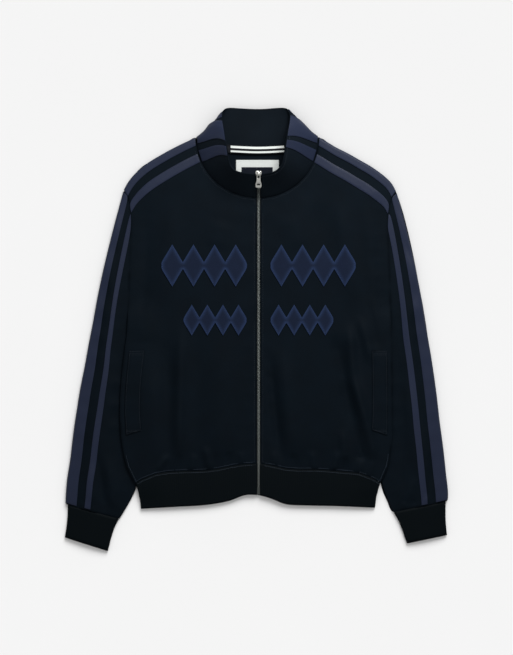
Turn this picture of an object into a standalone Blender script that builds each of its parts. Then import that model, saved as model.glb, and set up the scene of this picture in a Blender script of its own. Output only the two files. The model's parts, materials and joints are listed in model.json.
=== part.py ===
"""Zip-front track jacket laid out flat on its back, front side up.

The garment lies in the XY plane on the surface z = 0, with +Y towards the collar and +Z up.
The wearer's right side is at -X and is called left here, as it is seen from above.
Every cloth piece is a wall of real thickness over a grid of points. The grids are worked out
from the tables below, in millimetres, and meet their neighbours with a small gap at each seam.
"""

import math

import bmesh
import bpy
import numpy as np
from mathutils import Matrix, Vector
from mathutils.bvhtree import BVHTree

MM = 0.001  # the tables are in millimetres and Blender's units are metres

# ---- driving sizes, mm -------------------------------------------------------------------
CLOTH = 1.8  # brushed sweatshirt jersey, one layer
RIB = 2.2  # ribbed cuffs and hem band
COLLAR_CLOTH = 2.4  # the collar is doubled
TAPE = 1.0  # stripe tapes, neck tape, labels
FELT = 1.2  # chest motif
SEAM = 0.4  # gap between pieces that are sewn together
OVERLAY = 0.3  # gap under what lies on a panel
TAPE_LIFT = TAPE + OVERLAY  # height of the cloth over tapes that lie under it
SLEEVE_TUCKED = 4.8  # height of the sleeve where the body lies on it
TUCK_LIFT = 5.2  # height of the body's underside there

NECK_CENTRE_Y = 341.0  # height of both neck points
FRONT_DROP = 108.0  # from the neck points to the front neck
BACK_DROP = 22.0  # from the neck points to the back neck
CENTRE_X = 4.5  # the zip lies this far to the right of the middle of the outline
ZIP_HALF = 3.4  # half the gap between the front edges
ZIP_FOOT_Y = -300.0  # bottom of the zip
HEM_SEAM_Y = -244.0  # seam of the hem band at the zip

# Stripe edges, as distances from the outer edge of the garment.
SHOULDER_STRIPES = {"wide": 12.0, "narrow_from": 27.0, "narrow_to": 42.0}
STRIPE_ZONE = (58.0, 74.0)  # the tapes under the cloth lift it up to here

# ---- outlines, mm: x is the distance from the centre line --------------------------------
OUTLINE = {
    "left": {
        "neck": 108.0,
        # x, y from the neck point to the tip of the shoulder
        "shoulder": [(108, 341), (130, 331), (151, 320.5), (171, 309.5), (191, 297.5), (205, 287),
                     (217, 276), (226, 265.5), (232, 256.5), (237, 247)],
        # x, y from the armpit to the tip of the shoulder
        "armhole": [(232, -13), (229, 50), (227, 112), (225, 175), (225, 210), (229, 232), (237, 247)],
        # x, y from the hem seam to the armpit
        "side": [(216, -279), (224, -268), (232, -247), (240, -211), (244, -175), (244, -130),
                 (241, -85), (236, -40), (232, -13)],
        # x, y of the hem band's seam and of its lower edge, from the zip to the side
        "hem_seam": [(-1.1, -244), (31, -246), (76, -255), (103, -257), (157, -259), (193, -266), (216, -279)],
        "hem_edge": [(-1.1, -300), (24, -300), (36, -306), (49, -311), (90, -318), (139, -321), (207, -325)],
    },
    "right": {
        "neck": 113.0,
        "shoulder": [(113, 341), (124, 335), (144, 323), (166, 312), (185, 301), (203, 291),
                     (218.5, 280.5), (232, 270), (243, 258.5), (251, 244)],
        "armhole": [(243, -15), (241, 50), (239, 112), (237, 165), (237, 200), (241, 227), (251, 244)],
        "side": [(223, -278), (230, -266), (237, -247), (243, -211), (245, -175), (245, -130),
                 (245, -85), (244, -40), (243, -15)],
        "hem_seam": [(7.9, -244), (23, -246), (59, -254), (113, -255), (149, -258), (194, -263), (223, -278)],
        "hem_edge": [(7.9, -301), (20, -301), (36, -311), (54, -317), (98, -319), (146, -320), (214, -323)],
    },
}

# Sections across each sleeve: outer x and y, inner x and y, how much of the armhole's bow the
# section keeps, and how far the stripes' edges are from the outer edge.
SLEEVE_COLUMNS = ("outer_x", "outer_y", "inner_x", "inner_y", "bow", "wide", "narrow_from", "narrow_to")
SLEEVES = {
    "left": [
        (237, 247, 226, -13, 1.00, 9, 22, 27),
        (243.8, 222, 230, -15, 0.80, 10.4, 22, 32),
        (264.4, 143, 233.5, -19, 0.45, 11.5, 25, 34),
        (283, 60, 234.5, -28, 0.15, 13.3, 28, 36),
        (292, 10, 234, -38, 0.00, 14.4, 29.5, 38),
        (300, -30, 232, -51, 0.00, 15.8, 31, 39.5),
        (307, -70, 222, -77, 0.00, 17.2, 33, 42),
        (314.3, -105, 205, -116, 0.00, 18.3, 34.5, 44.5),
        (319.4, -137, 196, -157, 0.00, 18.4, 35, 45.5),
        (324.2, -167, 197, -195, 0.00, 18.5, 35, 46),
        (329, -202, 204, -232, 0.00, 18.8, 35, 46),
        (333, -237, 211, -264, 0.00, 19.2, 35, 46),
        (338, -268, 216, -288, 0.00, 19.5, 35, 46),
        (340.6, -296, 227.5, -313, 0.00, 19.5, 35, 45.5),
        (341.5, -317, 245.5, -343.3, 0.00, 19, 34, 44.5),
    ],
    "right": [
        (251, 244, 237, -15, 1.00, 9, 22, 27),
        (257.5, 222, 239.5, -17, 0.80, 10.4, 20.5, 32),
        (277.5, 143, 241.5, -21, 0.45, 12.5, 26, 37),
        (295, 60, 242, -30, 0.15, 15.7, 30, 40.5),
        (303, 10, 241.5, -40, 0.00, 17, 31.7, 42.7),
        (310, -30, 239, -53, 0.00, 17.8, 32.6, 43.3),
        (316.5, -70, 232, -79, 0.00, 18.6, 33.2, 44.2),
        (321.5, -105, 215, -118, 0.00, 19.4, 34, 45.2),
        (325.5, -137, 206, -159, 0.00, 20, 34.5, 45.6),
        (328.8, -167, 207, -197, 0.00, 20.7, 35.2, 46.5),
        (333.6, -202, 213, -234, 0.00, 21.2, 36.2, 47.3),
        (337.8, -237, 221, -264, 0.00, 21.5, 36.8, 48),
        (341, -268, 229, -289, 0.00, 21.6, 37.2, 48),
        (344, -293, 238, -312, 0.00, 21.5, 37, 47.5),
        (343.5, -311, 246.6, -331, 0.00, 20.5, 36, 46.5),
    ],
}

# Sections across each cuff, from its seam to its end: outer x and y, inner x and y.
CUFFS = {
    "left": [
        (339, -318.3, 246.8, -343.6), (338.5, -337, 255.3, -360), (340.8, -356, 260.6, -377),
        (343.8, -376.5, 266.3, -401),
    ],
    "right": [
        (341.3, -312.1, 247.6, -331.5), (340.5, -331, 257, -348), (340.8, -351, 264, -366),
        (343.6, -372.2, 271, -387.3),
    ],
}

# Sections round half the collar, from the zip to the centre of the back. Along the neck seam,
# 0 is the zip, 1 to 2 goes round the end of the shoulder's fold and 3 is the centre of the back.
# Then where the section's rim is, and how far its middle bulges out and sags.
COLLAR_COLUMNS = ("seam", "rim_x", "rim_y", "rim_z", "bulge", "sag")
COLLAR = [
    (0.00, 3.4, 273, 44, 0.0, 0.0),
    (0.22, 31, 277, 47, 1.0, 0.5),
    (0.43, 44, 286, 50, 2.0, 1.0),
    (0.60, 49, 297, 52, 3.0, 1.5),
    (0.75, 51, 307, 52, 4.0, 2.0),
    (0.87, 53, 322, 52, 4.0, 1.5),
    (0.96, 55, 334, 50, 5.0, 2.0),
    (1.00, 56, 342, 47, 6.0, 2.0),
    (1.50, 58, 355, 41, 9.0, 2.0),
    (2.00, 60, 366, 34, 9.5, 3.0),
    (2.15, 61, 376, 27, 8.0, 3.0),
    (2.30, 61, 387, 20, 6.0, 2.5),
    (2.50, 54, 394, 13, 2.0, 1.5),
    (2.66, 41, 395, 10, 0.0, 1.0),
    (2.83, 24, 394, 9, 0.0, 1.0),
    (3.00, 4.5, 393, 8, 0.0, 1.0),
]
COLLAR_SPLITS = (0, 0.5, 1, 1.5, 2, 2.5, 3, 3.5, 4, 5.1, 6, 6.5, 7, 7.5, 8, 8.5, 9, 9.4, 10.1, 10.6, 11, 12, 13, 14, 15)
COLLAR_ROWS = (0.0, 0.045, 0.25, 0.44, 0.63, 0.82, 1.0)  # from the neck seam to the rim
COLLAR_BULGE = {"left": 1.1, "right": 0.7}  # the left half stands out more
COLLAR_TWIST = {"left": 0.0, "right": 1.0}  # rows of the table that the rim is pulled on towards the back
# Stripes up the collar, as places among the splits above.
COLLAR_STRIPES = {"narrow_front": (4, 5.1), "wide": (6, 9.4), "narrow_back": (10.1, 11)}
BACK_SEAM = 1.6  # from the back's neck edge to the collar's outer face
# The half round of the neck seam at the end of the shoulder: where it starts above and ends below,
# as places from the neck point, how far it swings out between them, and its radius.
COLLAR_FOLD = {"above": (-1.2, -2.8), "below": (-3.8, 0.3), "swing": (1.7, 3.2), "radius": 4.1}

# Soft folds in the fronts: a ridge from x0, y0 to x1, y1, its half width and its height.
FOLD_COLUMNS = ("x0", "y0", "x1", "y1", "half_width", "height")
FOLDS = [
    (-128, -20, -121, -225, 17, 1.0),
    (-185, -60, -160, -235, 15, 0.8),
    (-60, 10, -75, -230, 20, 0.9),
    (-90, 215, -150, 60, 24, 0.8),
    (78, -20, 82, -225, 22, 1.0),
    (160, 10, 205, -215, 15, 1.1),
    (200, -20, 222, -120, 12, 0.6),
    (80, 230, 120, 90, 24, 0.9),
    (165, 230, 185, 60, 22, 0.7),
]
# The same for the sleeves; a crease that lies lower has a height below 0.
SLEEVE_FOLDS = [
    (-285, -225, -262, -345, 11, -1.2),
    (-300, -150, -275, -300, 16, 0.9),
    (-300, 60, -318, -60, 16, 0.8),
    (285, 150, 300, 0, 16, 0.8),
    (290, -90, 306, -250, 15, 0.9),
    (318, -235, 300, -320, 10, -1.0),
]
SLEEVE_DOME = 2.2
CUFF_DOME = (1.2, 1.4, 1.6, 2.2)  # of each section of the cuffs
CUFF_AIR = 1.4
CUFF_POINTS = 9
HEM_ROWS = 4
HEM_AIR = 1.2
HEM_DOME = (0.2, 1.0, 1.6, 1.8, 2.0)  # of each row of the hem band
HEM_FOLD = (62.0, 24.0, -24.0, -62.0)  # angles of the points round its sides
BODY_AIR = 1.0  # gap between front and back panel at the edges
BODY_DOME = 1.7  # what the middle of each front adds to it
ZIP_AIR = 2.2  # gap beside the zip, which lies between the panels
SHOULDER_AIR = 2.0

POCKET = {"top": -42.0, "bottom": -196.0, "from_edge": 9.0, "width": 27.0}

# Chest motif: rows of joined lozenges of felt on each front.
MOTIF_ROWS = {
    "upper": {"y": 112.0, "height": 76.0, "pitch": 38.0, "count": 4, "from_zip": 22.0},
    "lower": {"y": 14.0, "height": 56.0, "pitch": 28.0, "count": 4, "from_zip": 22.0},
}
MOTIF_NECK = 0.16  # how much of its height a lozenge keeps where it joins the next

FRONT_COLUMNS = 8  # between the zip and the pocket's welt
NECK_COLUMNS = 4  # of the back, inside the neckline of the fronts
SIDE_Y = (-250.0, -223.0, -196.0, -158.0, -119.0, -80.0, -42.0, -27.0)  # rows up the side seam
ZIP_ROWS = 4  # from the armpit's row to the front neck
NECK_ROWS = 5  # from there to the stripes
# Points round the shoulder's fold, as shares of its radius in from the edge and up from its middle.
SHOULDER_FOLD = ((1.0, 1.0), (0.42, 0.82), (0.0, 0.38), (0.0, 0.08))

WELT = 1.4  # thickness of the pockets' welts
WELT_ROWS = (3, 7)  # rows of the front between which a welt lies
STRIPE_TRIM = {"shoulder": (0.05, 0.10), "sleeve": (0.06, 0.10)}  # shares of the end rows cut off
NECK_TAPE = {"columns": 4, "above": 0.2, "below": 8.0}
LABELS = {
    "neck_label": {"x": (-36, 41), "y": (276, 289, 302), "z": 2.8, "slot": "white"},
    "size_label": {"x": (-26, 30), "y": (264, 277, 289), "z": 4.1, "slot": "label"},
}

ZIP_CHAIN = {"width": 5.8, "thickness": 2.4, "sunk": 0.35, "foot": -286.5}
ZIP_TAPE = {"from": 3.2, "width": 11.0, "thickness": 0.8, "top": 226.0}
ZIP_BOX = {"width": 5.8, "top": -287.0, "thickness": 3.2}
SLIDER = {"width": 12.0, "foot": 8.5, "length": 10.5, "gap": 0.9, "top": 3.0, "from_rim": -5.5}
BRIDGE = {"width": 2.6, "reach": 4.2, "bar": 1.3, "top": 6.5}
PULL = {"width": 11.0, "length": 33.0, "corner": 2.2, "thickness": 1.3, "low": 3.4, "axis": -1.2, "eye": 0.7,
        "hole_corner": 1.2, "holes": ((4.0, 8.0, 0.7), (5.0, 9.0, 19.0))}

COLOURS = {
    "jersey": (0.010, 0.014, 0.020),
    "rib": (0.007, 0.009, 0.013),
    "stripe": (0.045, 0.055, 0.115),
    "felt": (0.040, 0.048, 0.110),
    "white": (0.72, 0.73, 0.71),
    "label": (0.03, 0.035, 0.05),
    "tape": (0.012, 0.014, 0.018),
    "metal": (0.55, 0.55, 0.52),
}


# ---- small tools -------------------------------------------------------------------------
def smooth(low, high, x):
    """0 below low, 1 above high and a smooth step between them."""
    t = np.clip((np.asarray(x, float) - low) / (high - low), 0.0, 1.0)
    return t * t * (3.0 - 2.0 * t)


def spline(rows, places):
    """The smooth curve through the rows of a table, read at places counted in rows."""
    p = np.asarray(rows, float)
    p = np.vstack([2 * p[0] - p[1], p, 2 * p[-1] - p[-2]])
    places = np.asarray(places, float)
    k = np.clip(np.floor(places).astype(int), 0, len(p) - 4)
    f = (places - k)[..., None]
    a, b, c, d = p[k], p[k + 1], p[k + 2], p[k + 3]
    return b + f * (c - a + f * (2 * a - 5 * b + 4 * c - d + f * (3 * (b - c) + d - a))) / 2


def by_length(rows, shares, dense=400):
    """Points of the smooth curve through rows, at shares of its length from 0 to 1."""
    curve = spline(rows, np.linspace(0, len(rows) - 1, dense))
    length = np.concatenate([[0], np.cumsum(np.linalg.norm(np.diff(curve, axis=0), axis=1))])
    places = np.asarray(shares, float) * length[-1]
    return np.stack([np.interp(places, length, curve[:, i]) for i in range(curve.shape[1])], axis=-1)


def distance_to(curve, points):
    """Distance in plan of each point to a line through the curve's points."""
    a, b = curve[:-1], curve[1:]
    p = np.asarray(points, float)[..., None, :2]
    along = b - a
    t = np.clip(((p - a) * along).sum(-1) / (along**2).sum(-1), 0, 1)
    return np.linalg.norm(p - a - t[..., None] * along, axis=-1).min(-1)


def grid_normals(grid, closed=False):
    """Unit normals of a grid of points, by the order of its rows and columns."""
    if closed:
        ring = np.concatenate([grid[:, -1:], grid, grid[:, :1]], axis=1)
        across = ring[:, 2:] - ring[:, :-2]
    else:
        across = np.gradient(grid, axis=1)
    normal = np.cross(across, np.gradient(grid, axis=0))
    return normal / np.linalg.norm(normal, axis=-1, keepdims=True)


def material(name):
    found = bpy.data.materials.get(name)
    if found:
        return found
    made = bpy.data.materials.new(name)
    made.use_nodes = True
    shader = made.node_tree.nodes["Principled BSDF"]
    shader.inputs["Base Color"].default_value = (*COLOURS[name], 1.0)
    metal = name == "metal"
    shader.inputs["Metallic"].default_value = 1.0 if metal else 0.0
    shader.inputs["Roughness"].default_value = 0.32 if metal else 0.9
    made.diffuse_color = (*COLOURS[name], 1.0)
    return made


def add_object(name, data, slot):
    made = bpy.data.objects.new(name, data)
    bpy.context.scene.collection.objects.link(made)
    data.materials.append(material(slot))
    return made


SURFACES = {}  # the outer triangles of each cloth piece, by name


def cloth(name, grid, thickness, slot, closed=False, outward=False):
    """A wall of cloth over a grid of outer points in mm. Its faces look the way that row x column
    order gives, and its thickness goes behind them, or in front with outward."""
    rows, columns = grid.shape[:2]
    faces = []
    for i in range(rows - 1):
        for j in range(columns if closed else columns - 1):
            k = (j + 1) % columns
            # Each quad is split along its higher diagonal, so that layers with one plan stay parallel.
            a, b, c, d = i * columns + j, i * columns + k, (i + 1) * columns + k, (i + 1) * columns + j
            rise = grid[i, j, 2] + grid[i + 1, k, 2] - grid[i, k, 2] - grid[i + 1, j, 2]
            faces += [(a, b, c), (a, c, d)] if rise > 0 else [(a, b, d), (b, c, d)]
    mesh = bpy.data.meshes.new(name)
    SURFACES[name] = (grid.reshape(-1, 3), faces)
    mesh.from_pydata([tuple(p) for p in grid.reshape(-1, 3) * MM], [], faces)
    mesh.update()
    mesh.shade_smooth()
    made = add_object(name, mesh, slot)
    wall = made.modifiers.new("wall", "SOLIDIFY")
    wall.thickness = thickness * MM
    wall.offset = 1.0 if outward else -1.0
    return made


def overlay(name, grid, thickness, slot, gap=OVERLAY):
    """A piece that lies on the outer points of a panel, moved out from them."""
    return cloth(name, grid + gap * grid_normals(grid), thickness, slot, outward=True)


def on_surface(name, plan):
    """The plan's points, dropped from above on a cloth piece's outer triangles."""
    points, faces = SURFACES[name]
    tree = BVHTree.FromPolygons([tuple(p) for p in points], faces)
    heights = [tree.ray_cast(Vector((x, y, 100)), Vector((0, 0, -1)))[0].z for x, y in plan.reshape(-1, 2)]
    return np.concatenate([plan, np.reshape(heights, (*plan.shape[:-1], 1))], axis=-1)


def trimmed(grid, axis, start=0.0, end=0.0):
    """The grid with its first and last row or column pulled in by a share of their spacing."""
    cut = np.moveaxis(grid.copy(), axis, 0)
    cut[0] += start * (cut[1] - cut[0])
    cut[-1] += end * (cut[-2] - cut[-1])
    return np.moveaxis(cut, 0, axis)


def mirrored(side):
    return -1.0 if side == "left" else 1.0


# ---- outlines in plan --------------------------------------------------------------------
def centre(side):
    """The garment's centre line, as a distance out on this side."""
    return mirrored(side) * CENTRE_X


def zip_edge(side):
    return ZIP_HALF + centre(side)


def neckline(side, drop, shares):
    """Quarter ellipse from the centre line, at share 0, to the neck point, at share 1."""
    half = OUTLINE[side]["neck"] - centre(side)
    angle = np.linspace(0, math.pi / 2, 200)
    curve = np.stack([centre(side) + half * np.sin(angle), NECK_CENTRE_Y - drop * np.cos(angle)], axis=-1)
    length = np.concatenate([[0], np.cumsum(np.linalg.norm(np.diff(curve, axis=0), axis=1))])
    places = np.asarray(shares, float) * length[-1]
    return np.stack([np.interp(places, length, curve[:, i]) for i in (0, 1)], axis=-1)


def outer_curve(side):
    """The whole outer edge in plan, from the neck point over the shoulder and down the sleeve."""
    sleeve = spline([row[:2] for row in SLEEVES[side]], np.linspace(0, len(SLEEVES[side]) - 1, 120))
    shoulder = by_length(OUTLINE[side]["shoulder"], np.linspace(0, 1, 60))
    return np.vstack([shoulder, sleeve[1:]])


EDGE = {side: outer_curve(side) for side in OUTLINE}


def side_x(side, y):
    """Half width of the body and its hem band at height y."""
    table = OUTLINE[side]
    rows = [table["hem_edge"][-1], *table["side"], *table["armhole"][1:-2]]
    curve = spline(rows, np.linspace(0, len(rows) - 1, 200))
    return np.interp(y, curve[:, 1], curve[:, 0])


def sleeve_inner_x(side, y):
    """How far in the sleeve reaches under the body at height y."""
    rows = [row[2:4] for row in SLEEVES[side]][::-1]
    curve = spline(rows, np.linspace(0, len(rows) - 1, 200))
    return np.interp(y, curve[:, 1], curve[:, 0])


# ---- heights -----------------------------------------------------------------------------
def tape_lift(side, x, y):
    """The stripe tapes under the back hold the cloth up along the outer edge."""
    points = np.stack(np.broadcast_arrays(x, y), axis=-1)
    return TAPE_LIFT * (1 - smooth(*STRIPE_ZONE, distance_to(EDGE[side], points)))


def tuck_lift(side, x, y):
    """The sleeve tucked under the body's side holds it up, from just above the armpit to the hem."""
    armpit_y = OUTLINE[side]["armhole"][0][1]
    reach = np.minimum(sleeve_inner_x(side, y), side_x(side, y))
    across = smooth(reach - 52, reach - 26, x)
    above = 1 - smooth(armpit_y + 23, armpit_y + 64, y)
    below = smooth(-318, -284, y)
    return TUCK_LIFT * across * above * below


def underside(side, x, y):
    """Height of the back's outer face above the surface it lies on."""
    return np.maximum(tape_lift(side, x, y), tuck_lift(side, x, y))


def ridge(x, y, x0, y0, x1, y1, half_width, height):
    """A soft fold along a line, which fades out past its ends."""
    along = np.array([x1 - x0, y1 - y0])
    length = np.hypot(*along)
    t = ((x - x0) * along[0] + (y - y0) * along[1]) / length**2
    across = ((x - x0) * along[1] - (y - y0) * along[0]) / length
    fade = smooth(-0.15, 0.2, t) * (1 - smooth(0.8, 1.15, t))
    return height * fade * np.exp(-((across / half_width) ** 2))


def body_air(side, x, y):
    """Gap between the front and the back panel."""
    to_shoulder = distance_to(EDGE[side][:60], np.stack([x, y], -1))
    edge = np.minimum(side_x(side, np.minimum(y, 150)) - x, to_shoulder)
    from_zip = x - centre(side)
    dome = BODY_DOME * smooth(0, 90, edge) * smooth(8, 70, from_zip) * smooth(-262, -190, y)
    folds = sum(ridge(mirrored(side) * x, y, *row) for row in FOLDS) * smooth(6, 45, edge)
    near_zip = 1 - smooth(18, 40, from_zip)
    near_shoulder = 1 - smooth(20, 70, to_shoulder)
    base = BODY_AIR + (ZIP_AIR - BODY_AIR) * near_zip
    base = base + (SHOULDER_AIR - BODY_AIR) * near_shoulder * (1 - near_zip)
    return base + (dome + folds) * (1 - 0.75 * near_shoulder)


def front_top(side, x, y):
    """Height of the front's outer face."""
    return underside(side, x, y) + 2 * CLOTH + body_air(side, x, y)


# ---- body panels -------------------------------------------------------------------------
def place_at_distance(curve, target, distance):
    """The first point of a curve that lies this far from the target line."""
    gap = distance_to(target, curve)
    k = int(np.argmax(gap >= distance))
    if k == 0:
        return curve[0]
    f = (distance - gap[k - 1]) / (gap[k] - gap[k - 1])
    return curve[k - 1] + f * (curve[k] - curve[k - 1])


def shoulder_row(side, distance, columns):
    """A row of the front this far in from the shoulder's edge, from the neckline to the armhole."""
    line = by_length(OUTLINE[side]["shoulder"], np.linspace(0, 1, columns + 1))
    along = np.gradient(line, axis=0)
    inward = np.stack([along[:, 1], -along[:, 0]], -1) / np.linalg.norm(along, axis=1, keepdims=True)
    row = line + distance * inward
    neck = neckline(side, FRONT_DROP, np.linspace(1, 0, 300))
    arm = by_length(OUTLINE[side]["armhole"][::-1], np.linspace(0, 1, 300))
    start = place_at_distance(neck, EDGE[side][:60], distance)
    end = place_at_distance(arm, EDGE[side][:60], distance)
    f = np.linspace(0, 1, columns + 1)[:, None]
    return row + (1 - f) * (start - row[0]) + f * (end - row[-1])


def coons(bottom, top, start, end):
    """A grid of points in plan between four edges. Rows run from start to end."""
    u = np.linspace(0, 1, len(bottom))[None, :, None]
    v = np.linspace(0, 1, len(start))[:, None, None]
    ruled_up = (1 - v) * bottom[None] + v * top[None]
    ruled_across = (1 - u) * start[:, None] + u * end[:, None]
    corners = (1 - u) * (1 - v) * bottom[0] + u * (1 - v) * bottom[-1] + (1 - u) * v * top[0] + u * v * top[-1]
    return ruled_up + ruled_across - corners


def between(curve, first, last, count):
    """Points of a dense curve from the one nearest to first to the one nearest to last."""
    i, j = (int(np.argmin(np.linalg.norm(curve - p, axis=1))) for p in (first, last))
    places = np.linspace(i, j, count + 1)
    points = np.stack([np.interp(places, np.arange(len(curve)), curve[:, k]) for k in (0, 1)], -1)
    points[0], points[-1] = first, last
    return points


def lower_plan(side):
    """Rows in plan from the hem band's seam to the armpit, columns from the zip to the side."""
    seam = spline(OUTLINE[side]["side"], np.linspace(0, len(OUTLINE[side]["side"]) - 1, 200))
    top = seam[-1]
    side_points = np.array([seam[0], *([np.interp(y, seam[:, 1], seam[:, 0]), y] for y in SIDE_Y), top])
    hem = by_length(OUTLINE[side]["hem_seam"], np.linspace(0, 1, 400))
    zip_y = np.linspace(HEM_SEAM_Y, 10, len(side_points))
    rows = []
    for i, (outer, y) in enumerate(zip(side_points, zip_y)):
        pocket = outer[0] - POCKET["from_edge"] - POCKET["width"]
        x = np.append(np.linspace(zip_edge(side), pocket, FRONT_COLUMNS + 1),
                      [outer[0] - POCKET["from_edge"], outer[0]])
        share = (x - x[0]) / (x[-1] - x[0])
        straight = hem[0, 1] + share * (hem[-1, 1] - hem[0, 1])
        curved = np.interp(share, (hem[:, 0] - hem[0, 0]) / (hem[-1, 0] - hem[0, 0]), hem[:, 1]) - straight
        rows.append(np.column_stack([x, y + share * (outer[1] - y) + curved * (1 - i / (len(side_points) - 1))]))
    return np.array(rows)


def front_plan(side):
    """Plan of a front. Rows go from the hem band's seam to the shoulder's edge."""
    lower = lower_plan(side)
    columns = FRONT_COLUMNS + 2
    top_z = front_top(side, *shoulder_row(side, SHOULDER_STRIPES["wide"], columns).T)
    radius = float(np.mean(top_z - TAPE_LIFT)) / 2
    band = [shoulder_row(side, SHOULDER_STRIPES[k], columns) for k in ("narrow_to", "narrow_from", "wide")]
    fold = [shoulder_row(side, radius * inward, columns) for inward, _ in SHOULDER_FOLD]
    neck = neckline(side, FRONT_DROP, np.linspace(0, 1, 400))
    neck_points = between(neck, neck[int(np.argmax(neck[:, 0] >= zip_edge(side)))], band[0][0], NECK_ROWS)
    neck_points[0, 0] = zip_edge(side)
    arm = by_length(OUTLINE[side]["armhole"], np.linspace(0, 1, 400))
    arm_points = between(arm, lower[-1, -1], band[0][-1], ZIP_ROWS + NECK_ROWS)
    zip_y = np.linspace(lower[-1, 0, 1], neck_points[0, 1], ZIP_ROWS + 1)
    zip_points = np.column_stack([np.full(ZIP_ROWS + 1, zip_edge(side)), zip_y])
    upper = coons(lower[-1], band[0], np.vstack([zip_points, neck_points[1:]]), arm_points)
    return np.concatenate([lower, upper[1:], band[1:], fold])


PLAN = {side: front_plan(side) for side in OUTLINE}
ARMPIT_ROW = len(SIDE_Y) + 1
NECK_ROW = ARMPIT_ROW + ZIP_ROWS
STRIPE_ROW = NECK_ROW + NECK_ROWS  # the narrow stripe's lower edge


def shoulder_heights(side):
    """Top height of the fold along the shoulder, for each column."""
    row = PLAN[side][STRIPE_ROW + 2]
    return front_top(side, row[:, 0], row[:, 1])


def front_grid(side):
    """Outer points of a front, with the shoulder's fold as its last rows."""
    plan = PLAN[side]
    z = front_top(side, plan[..., 0], plan[..., 1])
    high = shoulder_heights(side)
    for row, (_, up) in zip(z[-len(SHOULDER_FOLD):], SHOULDER_FOLD):
        row[:] = (high + TAPE_LIFT) / 2 + (high - TAPE_LIFT) / 2 * up
    return np.concatenate([plan, z[..., None]], axis=-1)


def back_half(side):
    """Outer points of half of the back: the front's plan, filled in to the centre line."""
    plan = PLAN[side]
    inside = np.zeros((len(plan), NECK_COLUMNS, 2))
    share = np.arange(NECK_COLUMNS)[:, None] / NECK_COLUMNS
    neck = neckline(side, BACK_DROP, np.linspace(0, 1, NECK_COLUMNS + 1))
    stripe_y = neck[0, 1] - SHOULDER_STRIPES["narrow_to"]
    for i, row in enumerate(plan):
        if i <= NECK_ROW:
            y = row[0, 1]
        elif i <= STRIPE_ROW:
            y = plan[NECK_ROW, 0, 1] + (stripe_y - plan[NECK_ROW, 0, 1]) * (i - NECK_ROW) / NECK_ROWS
        else:
            y = neck[0, 1] - float(distance_to(EDGE[side][:60], row[:1])[0])
        first = np.array([centre(side), y])
        straight = first + share * (row[0] - first)
        bend = neck[:-1] - (neck[0] + share * (neck[-1] - neck[0]))
        weight = max(0.0, (y - plan[NECK_ROW, 0, 1]) / (neck[0, 1] - plan[NECK_ROW, 0, 1])) ** 2
        inside[i] = straight + weight * bend
    whole = np.concatenate([inside, plan], axis=1)
    z = underside(side, whole[..., 0], whole[..., 1])
    high = shoulder_heights(side)
    high = np.append(np.full(NECK_COLUMNS, high[0]), high)
    for row, (_, up) in zip(z[-len(SHOULDER_FOLD):], SHOULDER_FOLD):
        row[:] = (high + TAPE_LIFT) / 2 - (high - TAPE_LIFT) / 2 * up
    return np.concatenate([whole, z[..., None]], axis=-1)


def placed(grid, side):
    """The grid at its place on the left or the right, with its faces looking up."""
    moved = grid.copy()
    moved[..., 0] *= mirrored(side)
    return moved if side == "right" else moved[:, ::-1]


def back_grid():
    """Outer points of the whole back, from the left edge to the right edge, facing down."""
    left, right = placed(back_half("left"), "left"), placed(back_half("right"), "right")
    return np.concatenate([left[:, :-1], right], axis=1)[:, ::-1]


def build_body():
    for side in OUTLINE:
        cloth(f"front_{side}", placed(front_grid(side), side), CLOTH, "jersey")
    cloth("back", back_grid(), CLOTH, "jersey")


# ---- sleeves and cuffs -------------------------------------------------------------------
RING_FOLD = (90.0, 58.0, 28.0, 0.0)  # angles of the points round the sleeve's outer fold
UNDER_FOLD = (90.0, 45.0, 0.0)  # and round its fold under the arm
SLEEVE_START = 1.5  # from the tip of the shoulder to the sleeve's outer fold
FIRST_FLAT = (3.2, 2.5)  # from the fold under the arm to the flat layers, square to it and up the ring


def sleeve_heights(side, x, y, across, width):
    """Bottom and top height of the sleeve's outer faces, across from its outer edge."""
    bottom = TAPE_LIFT * (1 - smooth(48, 66, across))
    shown = smooth(9, 38, x - side_x(side, y))
    dome = SLEEVE_DOME * shown * smooth(0, 45, across) * smooth(0, 45, width - across)
    folds = sum(ridge(mirrored(side) * x, y, *row) for row in SLEEVE_FOLDS)
    return bottom, bottom + SLEEVE_TUCKED + dome + folds * shown * smooth(0, 30, across)


def flat_ring(plan, low, high, outer, outer_in, inner, inner_in):
    """A closed ring of points round a flattened tube. Its plan points run from the inner fold
    to the outer one. Both folds are half rounds that start from the given ways in."""
    folds = []
    for tip, inward, angles, k in ((outer, outer_in, RING_FOLD, -1), (inner, inner_in, UNDER_FOLD, 0)):
        middle, radius = (high[k] + low[k]) / 2, (high[k] - low[k]) / 2
        ring = []
        for angle in [*angles, *(-a for a in angles[-2::-1])]:
            a = math.radians(angle)
            ring.append([*(tip + inward * radius * (1 - math.cos(a))), middle + radius * math.sin(a)])
        folds.append(ring)
    top, bottom = np.column_stack([plan, high]), np.column_stack([plan, low])
    return np.vstack([top, folds[0], bottom[::-1], folds[1][::-1]])


def ways_in(points, turn):
    """Unit vectors in plan at right angles to a line of points, to its left or its right."""
    along = np.gradient(points, axis=0)
    along = along / np.linalg.norm(along, axis=1, keepdims=True)
    return turn * np.stack([-along[:, 1], along[:, 0]], -1)


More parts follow.
